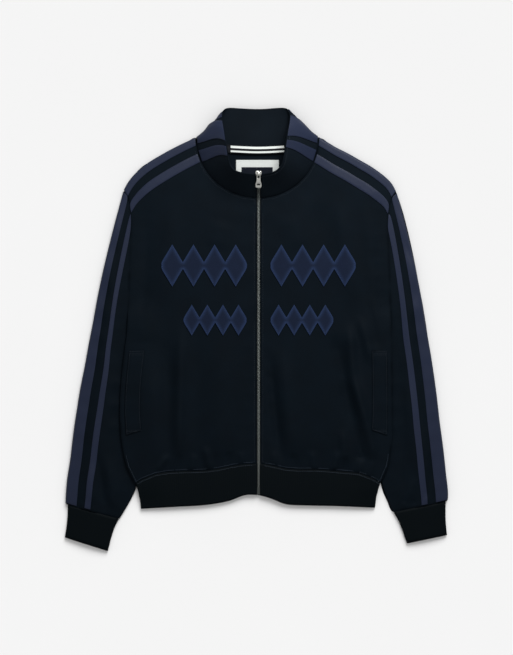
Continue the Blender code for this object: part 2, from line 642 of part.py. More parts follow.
def sleeve_rings(side):
    """Rings of outer points down a sleeve, from the armhole's seam to the cuff's."""
    arm = PLAN[side][ARMPIT_ROW : STRIPE_ROW + 3, -1]
    count = len(arm) - 4
    table = SLEEVES[side]
    out = ways_in(arm, -1.0)
    edge_in = ways_in(EDGE[side][56:64], -1.0)[3]
    outers, inners = np.array([row[:2] for row in table], float), np.array([row[2:4] for row in table], float)
    outers[0] += SLEEVE_START * np.array([-edge_in[1], edge_in[0]])
    outer_in, inner_in = ways_in(outers, -1.0), ways_in(inners, 1.0)
    up_arm = arm[-1] - outers[0]
    outer_in[0] = up_arm / (up_arm @ edge_in)
    across = inners[0] - outers[0]
    at = np.clip((arm - outers[0]) @ across / (across @ across), 0, 0.999)
    bow = np.vstack([[0, 0], (arm - outers[0] - at[:, None] * across)[::-1], [0, 0]])
    at = np.concatenate([[0], at[::-1], [1]])
    steps = np.linspace(0, 1, 500)
    rings = []
    for k, row in enumerate(table):
        line = outers[k] + steps[:, None] * (inners[k] - outers[k])
        width = np.linalg.norm(line[-1] - line[0])
        line = line + row[4] * np.column_stack([np.interp(steps, at, bow[:, i]) for i in (0, 1)])
        length = np.append(0, np.cumsum(np.linalg.norm(np.diff(line, axis=0), axis=1)))
        distance = distance_to(EDGE[side], line)
        wide, narrow, last = (length[np.argmax(distance >= d)] for d in row[5:])
        from_outer = [*np.linspace(length[-1] - sum(FIRST_FLAT), last, count + 1), narrow, (narrow + wide) / 2, wide]
        plan = np.column_stack([np.interp(from_outer, length, line[:, i]) for i in (0, 1)])
        if k == 0:
            plan = arm + SEAM * out
        up = (plan[1] - inners[k]) / np.linalg.norm(plan[1] - inners[k])
        plan[0] = inners[k] + FIRST_FLAT[0] * inner_in[k] + FIRST_FLAT[1] * up
        low, high = sleeve_heights(side, plan[:, 0], plan[:, 1], distance_to(EDGE[side], plan), width)
        rings.append(flat_ring(plan, low, high, outers[k], outer_in[k], inners[k], inner_in[k]))
    return np.array(rings)


def cuff_rings(side):
    """Rings of outer points down a cuff."""
    outers, inners = np.array(CUFFS[side])[:, :2], np.array(CUFFS[side])[:, 2:]
    outer_in, inner_in = ways_in(outers, -1.0), ways_in(inners, 1.0)
    share = np.linspace(0.045, 0.955, CUFF_POINTS)[:, None]
    rings = []
    for k, (outer, inner) in enumerate(zip(outers, inners)):
        plan = inner + share * (outer - inner)
        high = 2 * RIB + CUFF_AIR + CUFF_DOME[k] * np.sin(math.pi * share[:, 0])
        rings.append(flat_ring(plan, 0 * high, high, outer, outer_in[k], inner, inner_in[k]))
    return np.array(rings)


def build_sleeves():
    for side in OUTLINE:
        rings = sleeve_rings(side)
        rings[..., 0] *= mirrored(side)
        cloth(f"sleeve_{side}", rings if side == "left" else rings[:, ::-1], CLOTH, "jersey", closed=True)
        rings = cuff_rings(side)
        rings[..., 0] *= mirrored(side)
        cloth(f"cuff_{side}", rings if side == "left" else rings[:, ::-1], RIB, "rib", closed=True)


# ---- hem band ----------------------------------------------------------------------------
def hem_half(side):
    """Outer points of half of the band's front, from the zip out, and of its back under it."""
    seam = PLAN[side][0].copy()
    seam[:, 1] -= SEAM
    edge_curve = by_length(OUTLINE[side]["hem_edge"], np.linspace(0, 1, 300))
    share = (seam[:, 0] - seam[0, 0]) / (seam[-1, 0] - seam[0, 0])
    x = edge_curve[0, 0] + share * (edge_curve[-1, 0] - edge_curve[0, 0])
    edge = np.column_stack([x, np.interp(x, edge_curve[:, 0], edge_curve[:, 1])])
    tips = np.linspace(seam[-1], edge[-1], HEM_ROWS + 1)
    tips[:, 0] -= 1.5 * np.sin(np.linspace(0, math.pi, HEM_ROWS + 1))
    ways = ways_in(tips, -1.0)
    rows = []
    for k, v in enumerate(np.linspace(0, 1, HEM_ROWS + 1)):
        flat = seam[:-1] + v * (edge[:-1] - seam[:-1])
        low = underside(side, flat[:, 0], flat[:, 1])
        high = low + 2 * RIB + HEM_AIR + HEM_DOME[k] * smooth(0, 60, side_x(side, -280) - flat[:, 0])
        high += (ZIP_AIR - HEM_AIR) * (1 - smooth(18, 40, flat[:, 0] - centre(side)))
        middle, radius = (high[-1] + low[-1]) / 2, (high[-1] - low[-1]) / 2
        fold = [[*(tips[k] + ways[k] * radius * (1 - math.cos(a))), middle + radius * math.sin(a)]
                for a in np.radians(HEM_FOLD)]
        inside = np.column_stack([np.linspace(centre(side), flat[0, 0], 3)[:2], np.full(2, flat[0, 1])])
        under = np.column_stack([inside, underside(side, inside[:, 0], inside[:, 1])])
        front, back = np.column_stack([flat, high]), np.column_stack([flat, low])
        rows.append(np.vstack([front, fold, back[::-1], under[::-1]]))
    return np.array(rows)


def build_hem():
    left, right = hem_half("left"), hem_half("right")
    left[..., 0] *= -1
    grid = np.concatenate([left[:, :-1], right[:, ::-1]], axis=1)
    cloth("hem_band", grid, RIB, "rib")


# ---- collar ------------------------------------------------------------------------------
def neck_seam(side):
    """The line in 3-D that the collar stands on, as three runs: front, round the fold, back."""
    front = front_grid(side)[NECK_ROW : STRIPE_ROW + 3, 0]
    inward = ways_in(front[:, :2], 1.0)
    inward[0] = (0.0, 1.0)
    base = np.column_stack([front[:, :2] + 0.5 * inward, front[:, 2] - 0.6])
    neck_point = np.array([OUTLINE[side]["neck"], NECK_CENTRE_Y])
    above, below = (neck_point + COLLAR_FOLD[key] for key in ("above", "below"))
    swing, radius = np.array(COLLAR_FOLD["swing"]), COLLAR_FOLD["radius"]
    low = TAPE_LIFT + 0.3
    turn = []
    for a in np.linspace(math.pi / 2, -math.pi / 2, 7):
        plan = above + (1 - math.sin(a)) / 2 * (below - above) + math.cos(a) * swing
        turn.append([*plan, low + radius * (1 + math.sin(a))])
    back = back_half(side)[-1, NECK_COLUMNS - 1 :: -1]
    back = np.column_stack([back[:, 0], back[:, 1] + BACK_SEAM, np.full(len(back), low)])
    return np.vstack([base, turn[:1]]), np.array(turn), np.vstack([turn[-1:], back])


def along_seam(side, places):
    """Points of the neck seam, at places from 0 to 3 as in the collar's table."""
    runs = []
    for run in neck_seam(side):
        length = np.concatenate([[0], np.cumsum(np.linalg.norm(np.diff(run, axis=0), axis=1))])
        runs.append((run, length / length[-1]))
    points = []
    for place in places:
        k = min(int(place), 2)
        run, share = runs[k]
        points.append([np.interp(place - k, share, run[:, i]) for i in range(3)])
    return np.array(points)


def collar_half(side):
    """Outer points of half of the collar. Rows go from the neck seam up, columns from the zip out."""
    table = np.array(COLLAR, float)
    table[0, 1] = zip_edge(side)
    table[-1, 1] = centre(side)
    splits = np.array(COLLAR_SPLITS, float)
    seam = np.interp(splits, np.arange(len(table)), table[:, 0])
    twist = COLLAR_TWIST[side] * smooth(1, 4, splits) * (1 - smooth(9.4, 13, splits))
    rim = spline(table[:, 1:4], splits + twist)
    bulge, sag = (np.interp(splits, np.arange(len(table)), table[:, i]) for i in (4, 5))
    bulge *= COLLAR_BULGE[side]
    base = along_seam(side, seam)
    rise = rim - base
    across = np.stack([rise[:, 1], -rise[:, 0]], -1) / np.linalg.norm(rise[:, :2], axis=1, keepdims=True)
    push = np.column_stack([across * bulge[:, None], -sag])
    return np.array([base + v * rise + 6.75 * v * v * (1 - v) * push for v in COLLAR_ROWS])


def build_collar():
    halves = {side: collar_half(side) for side in OUTLINE}
    left = halves["left"].copy()
    left[..., 0] *= -1
    grid = np.concatenate([halves["right"], left[:, -2::-1]], axis=1)
    cloth("collar", grid, COLLAR_CLOTH, "jersey")
    for side, half in halves.items():
        for name, (low, high) in COLLAR_STRIPES.items():
            part = half[1:, COLLAR_SPLITS.index(low) : COLLAR_SPLITS.index(high) + 1].copy()
            if side == "left":
                part[..., 0] *= -1
                part = part[:, ::-1]
            overlay(f"stripe_collar_{name}_{side}", part, TAPE, "stripe")
    return grid


# ---- stripe tapes ------------------------------------------------------------------------
def build_stripes():
    for side in OUTLINE:
        front, back = front_grid(side), back_half(side)[:, NECK_COLUMNS:]
        wide = np.concatenate([front[STRIPE_ROW + 2 :], back[: STRIPE_ROW + 1 : -1]])
        strips = {
            "wide": wide,
            "narrow_front": front[STRIPE_ROW : STRIPE_ROW + 2],
            "narrow_back": back[STRIPE_ROW : STRIPE_ROW + 2][::-1],
        }
        for name, strip in strips.items():
            strip = trimmed(placed(strip, side), 1, *STRIPE_TRIM["shoulder"])
            overlay(f"stripe_shoulder_{name}_{side}", strip, TAPE, "stripe")
        rings = sleeve_rings(side)
        rings[..., 0] *= mirrored(side)
        first = ZIP_ROWS + NECK_ROWS
        strips = {
            "wide": rings[:, first + 2 : first + 11],
            "narrow_front": rings[:, first - 1 : first + 1],
            "narrow_back": rings[:, first + 12 : first + 14],
        }
        for name, strip in strips.items():
            strip = trimmed(strip, 0, *STRIPE_TRIM["sleeve"])
            overlay(f"stripe_sleeve_{name}_{side}", strip if side == "left" else strip[:, ::-1], TAPE, "stripe")


# ---- neck tape and labels ----------------------------------------------------------------
def slab(name, x, y, z, thickness, slot):
    """A flat rectangle of cloth on its back, from its lower face z up."""
    plan = np.array([[[a, b, z] for a in np.linspace(*x, 3)] for b in y], float)
    return cloth(name, plan, thickness, slot, outward=True)


def build_neck_pieces(collar):
    normal = grid_normals(collar)
    middle = collar.shape[1] // 2
    columns = slice(middle - NECK_TAPE["columns"], middle + NECK_TAPE["columns"] + 1)
    lift = COLLAR_CLOTH + 0.4
    upper = (collar + lift * -normal)[:3, columns]
    share = NECK_TAPE["above"]
    top = upper[1] + share * (upper[2] - upper[1])
    seam = upper[0]
    seam[:, 2] = np.maximum(seam[:, 2], 5.2)
    below = seam - [0.0, NECK_TAPE["below"], 0.0]
    grid = np.array([below, seam, upper[1], top])
    cloth("neck_tape", grid[:, ::-1], TAPE, "tape", outward=True)
    for name, row in LABELS.items():
        slab(name, row["x"], row["y"], row["z"], TAPE, row["slot"])


# ---- pockets and motif -------------------------------------------------------------------
def build_front_pieces():
    for side in OUTLINE:
        lower = front_grid(side)[WELT_ROWS[0] : WELT_ROWS[1] + 1, FRONT_COLUMNS : FRONT_COLUMNS + 2]
        overlay(f"welt_{side}", placed(lower, side), WELT, "jersey")
        for name, row in MOTIF_ROWS.items():
            steps = np.arange(4 * row["count"] + 1)
            x = centre(side) + row["from_zip"] + row["pitch"] / 4 * steps
            half = row["height"] / 2 * (1 - (1 - MOTIF_NECK) * np.abs((steps % 4) - 2) / 2)
            plan = np.array([np.column_stack([x, row["y"] + v * half]) for v in (-1, 0, 1)])
            plan = placed(plan, side)
            overlay(f"motif_{name}_{side}", on_surface(f"front_{side}", plan), FELT, "felt", gap=0.5)


# ---- zip ---------------------------------------------------------------------------------
def zip_path():
    """The chain's outer face in Y and Z: flat between the fronts, then up the collar's edge."""
    base, rim = along_seam("right", [0.0])[0][1:], np.array(COLLAR[0][2:4], float)
    up = (rim - base) / np.linalg.norm(rim - base)
    inward = np.array([up[1], -up[0]])
    flat = float(front_top("right", np.array(zip_edge("right")), np.array(0.0))) - ZIP_CHAIN["sunk"]
    rise = [base + up * s + inward * ZIP_CHAIN["sunk"] for s in (7.0, 20.0, 34.0, 48.0, np.linalg.norm(rim - base))]
    low = [[y, flat] for y in (ZIP_CHAIN["foot"], -200.0, -100.0, 0.0, 100.0, 180.0, 222.0)]
    return np.array([*low, [base[0] - 3.0, flat + 0.5], [base[0] + 1.2, flat + 1.9], *rise]), up, inward


def build_zip():
    path, up, inward = zip_path()
    across = np.array([-1.0, -0.5, 0.5, 1.0]) * ZIP_CHAIN["width"] / 2
    crown = np.array([0.0, 0.35, 0.35, 0.0])
    grid = np.array([[[CENTRE_X + x, y, z + c] for x, c in zip(across, crown)] for y, z in path])
    cloth("zip_chain", grid, ZIP_CHAIN["thickness"], "metal")
    z = float(path[0, 1]) + ZIP_CHAIN["sunk"] - CLOTH - OVERLAY
    for side in OUTLINE:
        x = np.array([ZIP_TAPE["from"], ZIP_TAPE["from"] + ZIP_TAPE["width"]])
        y = np.linspace(ZIP_FOOT_Y, ZIP_TAPE["top"], 8)
        plan = np.array([[[CENTRE_X + mirrored(side) * a, b, z] for a in x[:: int(mirrored(side))]] for b in y])
        cloth(f"zip_tape_{side}", plan, ZIP_TAPE["thickness"], "tape")
    box = ZIP_BOX
    block("zip_box", (CENTRE_X, (box["top"] + ZIP_FOOT_Y) / 2, path[0, 1] - 0.9),
          (box["width"], box["top"] - ZIP_FOOT_Y, box["thickness"]), "metal", bevel=0.6)
    return path, up, inward


def block(name, at, size, slot, bevel=0.4, turn=None):
    """A box with rounded edges, in mm."""
    bm = bmesh.new()
    bmesh.ops.create_cube(bm, size=1.0)
    bmesh.ops.scale(bm, vec=Vector(size) * MM, verts=bm.verts)
    bmesh.ops.bevel(bm, geom=bm.edges[:], offset=bevel * MM, segments=2, profile=0.6, affect="EDGES")
    bmesh.ops.transform(bm, matrix=Matrix.Translation(Vector(at) * MM) @ (turn or Matrix()), verts=bm.verts)
    mesh = bpy.data.meshes.new(name)
    bm.to_mesh(mesh)
    bm.free()
    return add_object(name, mesh, slot)


def prism(name, outline, low, high, slot):
    """A prism over an outline in plan, in mm."""
    count = len(outline)
    points = [(x * MM, y * MM, z * MM) for z in (low, high) for x, y in outline]
    sides = [(i, (i + 1) % count, count + (i + 1) % count, count + i) for i in range(count)]
    mesh = bpy.data.meshes.new(name)
    mesh.from_pydata(points, [], [tuple(range(count))[::-1], tuple(range(count, 2 * count)), *sides])
    return add_object(name, mesh, slot)


def rounded(width, length, radius, middle, steps=5):
    """Outline of a rounded rectangle, along Y about middle."""
    points = []
    for corner, (sx, sy) in enumerate([(1, 1), (-1, 1), (-1, -1), (1, -1)]):
        for a in np.linspace(0, math.pi / 2, steps) + corner * math.pi / 2:
            points.append((sx * (width / 2 - radius) + radius * math.cos(a),
                           middle + sy * (length / 2 - radius) + radius * math.sin(a)))
    return points


def boolean(made, other, operation):
    change = made.modifiers.new(operation.lower(), "BOOLEAN")
    change.operation = operation
    change.object = other
    change.solver = "EXACT"
    other.hide_render = True
    other.display_type = "WIRE"


def build_slider(path, up, inward):
    """The slider at the top of the zip and its pull tab, built flat and then laid on the collar."""
    frame = Matrix(((1, 0, 0), (0, up[0], -inward[0]), (0, up[1], -inward[1]))).to_4x4()
    top = Vector((CENTRE_X, *(path[-1] - up * SLIDER["from_rim"] - inward * ZIP_CHAIN["sunk"])))
    lay = Matrix.Translation(top * MM) @ frame
    size = SLIDER
    half = size["length"] / 2
    outline = [(-size["foot"] / 2, -half), (size["foot"] / 2, -half), (size["width"] / 2, 0.2 * half),
               (size["width"] / 2 - 1, half), (-size["width"] / 2 + 1, half), (-size["width"] / 2, 0.2 * half)]
    body = prism("zip_slider", outline, size["gap"], size["top"], "metal")
    b = BRIDGE
    arch = prism("slider_bridge", [(-b["width"] / 2, -b["reach"]), (b["width"] / 2, -b["reach"]),
                                   (b["width"] / 2, b["reach"]), (-b["width"] / 2, b["reach"])],
                 size["top"] - 0.5, b["top"], "metal")
    window = prism("slider_window", [(-4, -b["reach"] + b["bar"]), (4, -b["reach"] + b["bar"]),
                                     (4, b["reach"] - b["bar"]), (-4, b["reach"] - b["bar"])],
                   size["top"] - 0.001, b["top"] - b["bar"], "metal")
    boolean(arch, window, "DIFFERENCE")
    boolean(body, arch, "UNION")
    p = PULL
    tab = prism("zip_pull", rounded(p["width"], p["length"], p["corner"], p["axis"] + p["eye"] - p["length"] / 2),
                p["low"], p["low"] + p["thickness"], "metal")
    holes = []
    for k, (width, length, start) in enumerate(p["holes"]):
        middle = p["axis"] - start - length / 2
        holes.append(prism(f"pull_hole_{k}", rounded(width, length, p["hole_corner"], middle, 3),
                           p["low"] - 1, p["low"] + p["thickness"] + 1, "metal"))
        boolean(tab, holes[-1], "DIFFERENCE")
    for made in (body, arch, window, tab, *holes):
        made.data.transform(lay)
    hinge = lay @ Vector((0, p["axis"] * MM, (p["low"] + p["thickness"] / 2) * MM))
    return hinge / MM


def centre_all():
    """Moves every mesh so that the middle of the whole outline is at X = Y = 0."""
    seen = bpy.context.evaluated_depsgraph_get()
    shown = [o for o in bpy.data.objects if not o.hide_render]
    corners = np.array([v.co for o in shown for v in o.evaluated_get(seen).to_mesh().vertices])
    middle = (corners.min(0) + corners.max(0)) / 2
    shift = Vector((-middle[0], -middle[1], 0))
    for made in bpy.data.objects:
        made.data.transform(Matrix.Translation(shift))
    return shift / MM


def main():
    for old in list(bpy.data.objects):
        bpy.data.objects.remove(old)
    build_body()
    build_sleeves()
    build_hem()
    build_neck_pieces(build_collar())
    build_stripes()
    build_front_pieces()
    hinge = build_slider(*build_zip()) + centre_all()
    print("pull hinge, mm:", [round(v, 2) for v in hinge])


main()
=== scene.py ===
"""Looks of a zip-front track jacket that lies flat on its back, dressed over its packed solids.

Every cloth piece is a thin shell with the form of its solid: the solid's faces are subdivided to a
smooth wall, its soft folds are raised in plan, and its cut edges are rounded and closed at the seams.
Knit ribs, stitches and zip teeth are added as real shapes. +Y is towards the collar and +Z is up.
"""
import json
import math
from functools import cache
from itertools import groupby

import bmesh
import bpy
import numpy as np
from mathutils import Matrix, Vector
from mathutils.bvhtree import BVHTree
from mathutils.kdtree import KDTree


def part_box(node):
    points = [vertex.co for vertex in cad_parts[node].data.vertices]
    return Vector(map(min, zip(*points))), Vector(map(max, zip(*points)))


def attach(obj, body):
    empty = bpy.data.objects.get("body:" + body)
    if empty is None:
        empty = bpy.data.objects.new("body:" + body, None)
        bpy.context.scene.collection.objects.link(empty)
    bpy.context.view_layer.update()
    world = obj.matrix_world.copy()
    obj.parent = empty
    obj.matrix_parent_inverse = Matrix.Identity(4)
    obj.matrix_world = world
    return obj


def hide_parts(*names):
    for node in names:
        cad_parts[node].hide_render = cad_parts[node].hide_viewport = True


bl_info = {
    "name": "Track jacket",
    "version": (1, 0, 0),
    "blender": (4, 5, 0),
    "location": "3D View > Sidebar > Jacket",
    "description": "Dresses the packed solids of a track jacket as sewn cloth",
    "category": "Object",
}

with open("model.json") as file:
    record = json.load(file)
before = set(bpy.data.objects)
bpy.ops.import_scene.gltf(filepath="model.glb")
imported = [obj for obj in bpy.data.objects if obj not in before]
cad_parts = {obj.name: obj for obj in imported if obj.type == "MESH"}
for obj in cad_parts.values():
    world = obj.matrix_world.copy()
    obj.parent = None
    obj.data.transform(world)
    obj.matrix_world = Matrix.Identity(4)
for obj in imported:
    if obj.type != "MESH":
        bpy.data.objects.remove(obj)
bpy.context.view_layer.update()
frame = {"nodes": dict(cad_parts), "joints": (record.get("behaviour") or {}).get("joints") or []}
NODES = frame["nodes"]
BODY, PULL_BODY = "jacket", "zip_pull"
SIDES = ("left", "right")
FRONTS = ("front_left", "front_right")

# Soft folds as ridges: x0, y0, x1, y1, half width and height, mm. A trough has a height below 0.
FRONT_FOLDS = (
    (168, -2, 174, -92, 10, 4.4), (174, -92, 198, -172, 10, 5.4), (198, -172, 212, -226, 9, 3.4),
    (142, -20, 160, -100, 12, -3.2), (160, -100, 176, -170, 12, -4.2), (176, -170, 190, -240, 11, -3.8),
    (154, -186, 158, -240, 7, 2.4), (186, 16, 208, -56, 9, 3.0), (204, 40, 216, -30, 7, -1.2),
    (22, -60, 43, -226, 9, -3.4), (48, -60, 65, -220, 14, 3.4), (-136, -20, -140, -228, 10, 3.8),
    (-162, -40, -162, -226, 13, -2.4), (-104, -20, -112, -222, 15, -1.2), (-60, -40, -66, -226, 20, 1.8),
    (150, 220, 172, 60, 16, 2.0), (110, 215, 120, 120, 20, -1.3), (200, 200, 214, 20, 13, 1.8),
    (-150, 215, -170, 60, 18, 1.8), (-196, 190, -206, 30, 12, -1.2), (-60, 190, -70, 150, 20, 1.4),
    (60, 200, 74, 150, 22, 1.3),
)
HEM_PUCKERS = (  # where the body is eased on to the hem band
    (-178, -252, -160, -228, 5, 2.4), (-150, -256, -138, -224, 6, -1.4), (-118, -254, -112, -226, 6, 1.9),
    (-84, -250, -92, -214, 7, 2.6), (-52, -246, -50, -222, 6, -1.4), (-26, -244, -28, -222, 6, 1.6),
    (34, -246, 32, -222, 6, 1.4), (70, -250, 66, -226, 6, -1.3), (104, -252, 100, -222, 7, 1.9),
    (138, -256, 146, -222, 6, 2.7), (160, -256, 160, -230, 5, -1.6), (182, -258, 190, -232, 6, 2.2),
    (204, -262, 208, -238, 5, 1.3),
)
SLEEVE_FOLDS = (
    (-286, -226, -276, -300, 8, -1.7), (-276, -300, -262, -340, 8, -1.3), (-268, -240, -256, -320, 9, 1.5),
    (-300, -250, -296, -330, 8, 1.4), (-318, -60, -322, -200, 11, 0.8), (-262, 90, -282, -60, 10, 1.1),
    (-300, 30, -312, -120, 9, -0.9), (-258, -80, -262, -190, 13, 1.2), (-240, -150, -248, -240, 11, -0.8),
    (-248, 190, -268, 70, 8, 0.9), (266, 180, 288, 40, 9, 0.9), (272, 60, 286, -70, 12, 1.1),
    (288, 0, 300, -140, 9, -1.0), (276, -120, 290, -260, 12, 1.3), (300, -180, 312, -300, 9, 0.9),
    (256, -180, 262, -290, 10, -0.9), (316, -240, 306, -314, 7, -1.2), (282, -270, 272, -316, 8, 1.3),
)
CUFF_PUCKERS = (
    (-268, -352, -276, -330, 5, 1.2), (-290, -346, -296, -322, 5, 1.0), (-312, -336, -314, -312, 5, 0.8),
    (262, -334, 266, -312, 5, 1.1), (284, -330, 284, -306, 5, -0.8), (304, -326, 306, -300, 5, 1.2),
    (326, -322, 328, -298, 5, 0.7),
)

# In metres.
FRONT_LIFT, SLEEVE_LIFT = 0.0016, 0.0014  # how far the middle of a panel stands above its solid
SLEEVE_LENGTH, HEM_LENGTH, CUFF_LENGTH = 0.60, 0.06, 0.056  # of the cloth of a tube
CUFF_WIDTH = 0.088  # of a cuff's upper layer
WALL = 0.0034  # no cloth is thicker
LINE_STEP = 0.003  # between the points of a line along a cut edge
PASS_SHARE = 0.9  # of the way back to the solid's points
STITCH_LIFT = 0.00018  # from the cloth to the middle of a thread
HEM_Y, NECK_Y = -0.225, 0.225  # beyond these, a front's cut edge is the hem's or the neck's
ZIP_X, ZIP_REACH = 0.0038, 0.012  # middle of the zip, and how far its seams lie to either side
ARMPIT_Y = -0.0195  # where the sleeves' folds leave the body
FLOOR_Z = -0.0002
SHARP = math.radians(58)  # a wall's cut edges turn by more than this, and its folds by less
BEND = 0.9  # radians; an edge that turns by more is rounded


def smooth(low, high, x):
    """0 below low, 1 above high and a smooth step between them."""
    t = np.clip((np.asarray(x, float) - low) / (high - low), 0.0, 1.0)
    return t * t * (3.0 - 2.0 * t)


# ---- settings ----
def colour(name, description, default):
    return bpy.props.FloatVectorProperty(name=name, description=description, subtype="COLOR", size=3, min=0,
                                         max=1, default=default)


def number(name, description, default, min=0, **more):
    return bpy.props.FloatProperty(name=name, description=description, default=default, min=min, **more)


def length(name, description, default):
    return number(name, description, default, unit="LENGTH", precision=5)


class ClothSettings(bpy.types.PropertyGroup):
    jersey: colour("Jersey", "Brushed jersey of the body and sleeves", (0.0007, 0.0028, 0.0054))
    # The collar's colour is the jersey painted paler: painted light on the collar, whose front faces away
    # from the lamp.
    collar: colour("Collar", "Jersey of the standing collar, brushed paler", (0.0022, 0.0044, 0.0072))
    rib: colour("Rib", "Ribbed knit of the cuffs and the hem band", (0.0005, 0.0019, 0.0029))
    stripe: colour("Stripe", "Tapes along the shoulders and sleeves", (0.0062, 0.0105, 0.0270))
    felt: colour("Felt", "Lozenges on the chest", (0.0048, 0.0094, 0.0250))
    tape: colour("Tape", "Grosgrain of the neck tape and zip tapes", (0.003, 0.004, 0.006))
    label: colour("Dark label", "Woven size label", (0.0034, 0.0050, 0.0092))
    white: colour("White", "Satin label and the neck tape's stripes", (0.60, 0.63, 0.61))
    thread: colour("Thread", "Sewing thread", (0.016, 0.022, 0.032))
    folds: number("Folds", "Strength of the soft folds", 1.5, max=2)


class RibSettings(bpy.types.PropertyGroup):
    hem_pitch: length("Hem rib pitch", "Distance between the hem band's ribs", 0.0034)
    cuff_pitch: length("Cuff rib pitch", "Distance between the cuffs' ribs", 0.0030)
    depth: length("Depth", "How far the ribs stand out", 0.00035)


class StitchSettings(bpy.types.PropertyGroup):
    stitch: length("Stitch", "Length of one stitch", 0.0026)
    gap: length("Gap", "Gap between two stitches", 0.0008)
    thread: length("Thread", "Diameter of the thread", 0.00042)


class ZipSettings(bpy.types.PropertyGroup):
    pitch: length("Tooth pitch", "Distance between two teeth on one side", 0.0024)
    width: length("Chain width", "Width of the closed teeth", 0.0058)
    thickness: length("Chain thickness", "Thickness of the teeth", 0.0022)
    teeth: colour("Teeth", "Metal of the zip's teeth", (0.075, 0.083, 0.080))
    slider: colour("Slider", "Metal of the slider and its pull", (0.70, 0.70, 0.66))


class StageSettings(bpy.types.PropertyGroup):
    floor: colour("Floor", "Plain pale surface", (0.80, 0.80, 0.80))
    lens: number("Lens", "Focal length of the camera", 150.0, min=20, subtype="DISTANCE_CAMERA")
    view_height: length("View height", "Height of the field that the camera takes in", 1.179)
    sky: number("Sky", "Strength of the even light", 0.60)
    sun: number("Sun", "Strength of the floor's light, from the collar's side", 2.80)
    key: number("Key light", "Power of the jacket's lamp, beyond the collar", 28.0, unit="POWER")


def group(kind, name, description):
    return bpy.props.PointerProperty(type=kind, name=name, description=description)


class JacketSettings(bpy.types.PropertyGroup):
    cloth: group(ClothSettings, "Cloth", "Colours and folds")
    rib: group(RibSettings, "Ribs", "Knit ribs")
    stitch: group(StitchSettings, "Stitches", "Sewing")
    zip: group(ZipSettings, "Zip", "Zip teeth and slider")
    stage: group(StageSettings, "Stage", "Floor, light and camera")


def settings():
    return bpy.context.scene.track_jacket


# ---- node trees ----
class Graph:
    """A node tree, with short calls that add its nodes."""

    def __init__(self, tree):
        self.tree = tree

    def put(self, value, socket):
        """Links an output to a socket, or sets the socket's own value."""
        if isinstance(value, bpy.types.NodeSocket):
            self.tree.links.new(value, socket)
        else:
            socket.default_value = value

    def add(self, kind, *inputs, **values):
        """Adds a node with its settings and inputs, and gives its outputs."""
        node = self.tree.nodes.new(kind)
        for key, value in values.items():
            setattr(node, key, value)
        for socket, value in inputs:
            self.put(value, node.inputs[socket])
        return node.outputs

    def maths(self, operation, *values, clamp=False):
        return self.add("ShaderNodeMath", *enumerate(values), operation=operation, use_clamp=clamp)[0]

    def times(self, a, b):
        return self.maths("MULTIPLY", a, b)


# ---- materials ----
def shade(base, factor):
    return tuple(min(1.0, c * factor) for c in base)


class Finish(Graph):
    """A material, with short calls for the textures that it is made of."""

    def __init__(self, name, base, roughness, metallic=0.0, specular=0.5):
        self.material = bpy.data.materials.new(name)
        self.material.use_nodes = True
        super().__init__(self.material.node_tree)
        self.shader = self.tree.nodes["Principled BSDF"].inputs
        self.base = base
        for socket, value in (("Base Color", (*base, 1)), ("Roughness", roughness), ("Metallic", metallic),
                              ("Specular IOR Level", specular)):
            self.shader[socket].default_value = value
        self.place = self.add("ShaderNodeTexCoord")["Object"]

    def noise(self, size, detail=2.0, roughness=0.55):
        """Soft noise whose features are about this size in metres."""
        return self.add("ShaderNodeTexNoise", ("Scale", 1.0 / size), ("Detail", detail),
                        ("Roughness", roughness), ("Vector", self.place))["Fac"]

    def patches(self, size, detail, floor, gain):
        """Noise with its contrast raised."""
        above = self.maths("SUBTRACT", self.noise(size, detail), floor)
        return self.maths("MULTIPLY", above, gain, clamp=True)

    def bands(self, pitch, axis, distortion, place=None):
        """Waves with this pitch in metres across one axis."""
        return self.add("ShaderNodeTexWave", ("Scale", 2 * math.pi / 20 / pitch), ("Distortion", distortion),
                        ("Detail", 1.0), ("Detail Scale", 1.0), ("Vector", place or self.place),
                        wave_type="BANDS", bands_direction=axis, wave_profile="SIN")["Fac"]

    def total(self, *parts):
        """The sum of values, each after its weight."""
        total = None
        for weight, value in parts:
            part = self.times(value, weight)
            total = part if total is None else self.maths("ADD", total, part)
        return total

    def blend(self, factor, a, b):
        """Colour a, or colour b where the factor is 1."""
        a, b = ((*c, 1) if isinstance(c, tuple) else c for c in (a, b))
        return self.add("ShaderNodeMix", (0, factor), (6, a), (7, b), data_type="RGBA")[2]

    def shades(self, factor, low, high, base=None):
        """The base colour at two brightnesses, the second where the factor is 1."""
        base = base or self.base
        return self.blend(factor, shade(base, low), shade(base, high))

    def by_seam(self, width):
        """1 at the cloth's cut edges, and less farther in."""
        share = self.maths("DIVIDE", self.add("ShaderNodeAttribute", attribute_name="seam")["Fac"], width)
        return self.maths("EXPONENT", self.times(self.times(share, share), -1.0))

    def paint(self, output):
        self.put(output, self.shader["Base Color"])

    def emboss(self, distance, strength, *heights):
        """Bump from heights, each after its weight."""
        bump = self.add("ShaderNodeBump", ("Distance", distance), ("Strength", strength),
                        ("Height", self.total(*heights)))
        self.put(bump["Normal"], self.shader["Normal"])


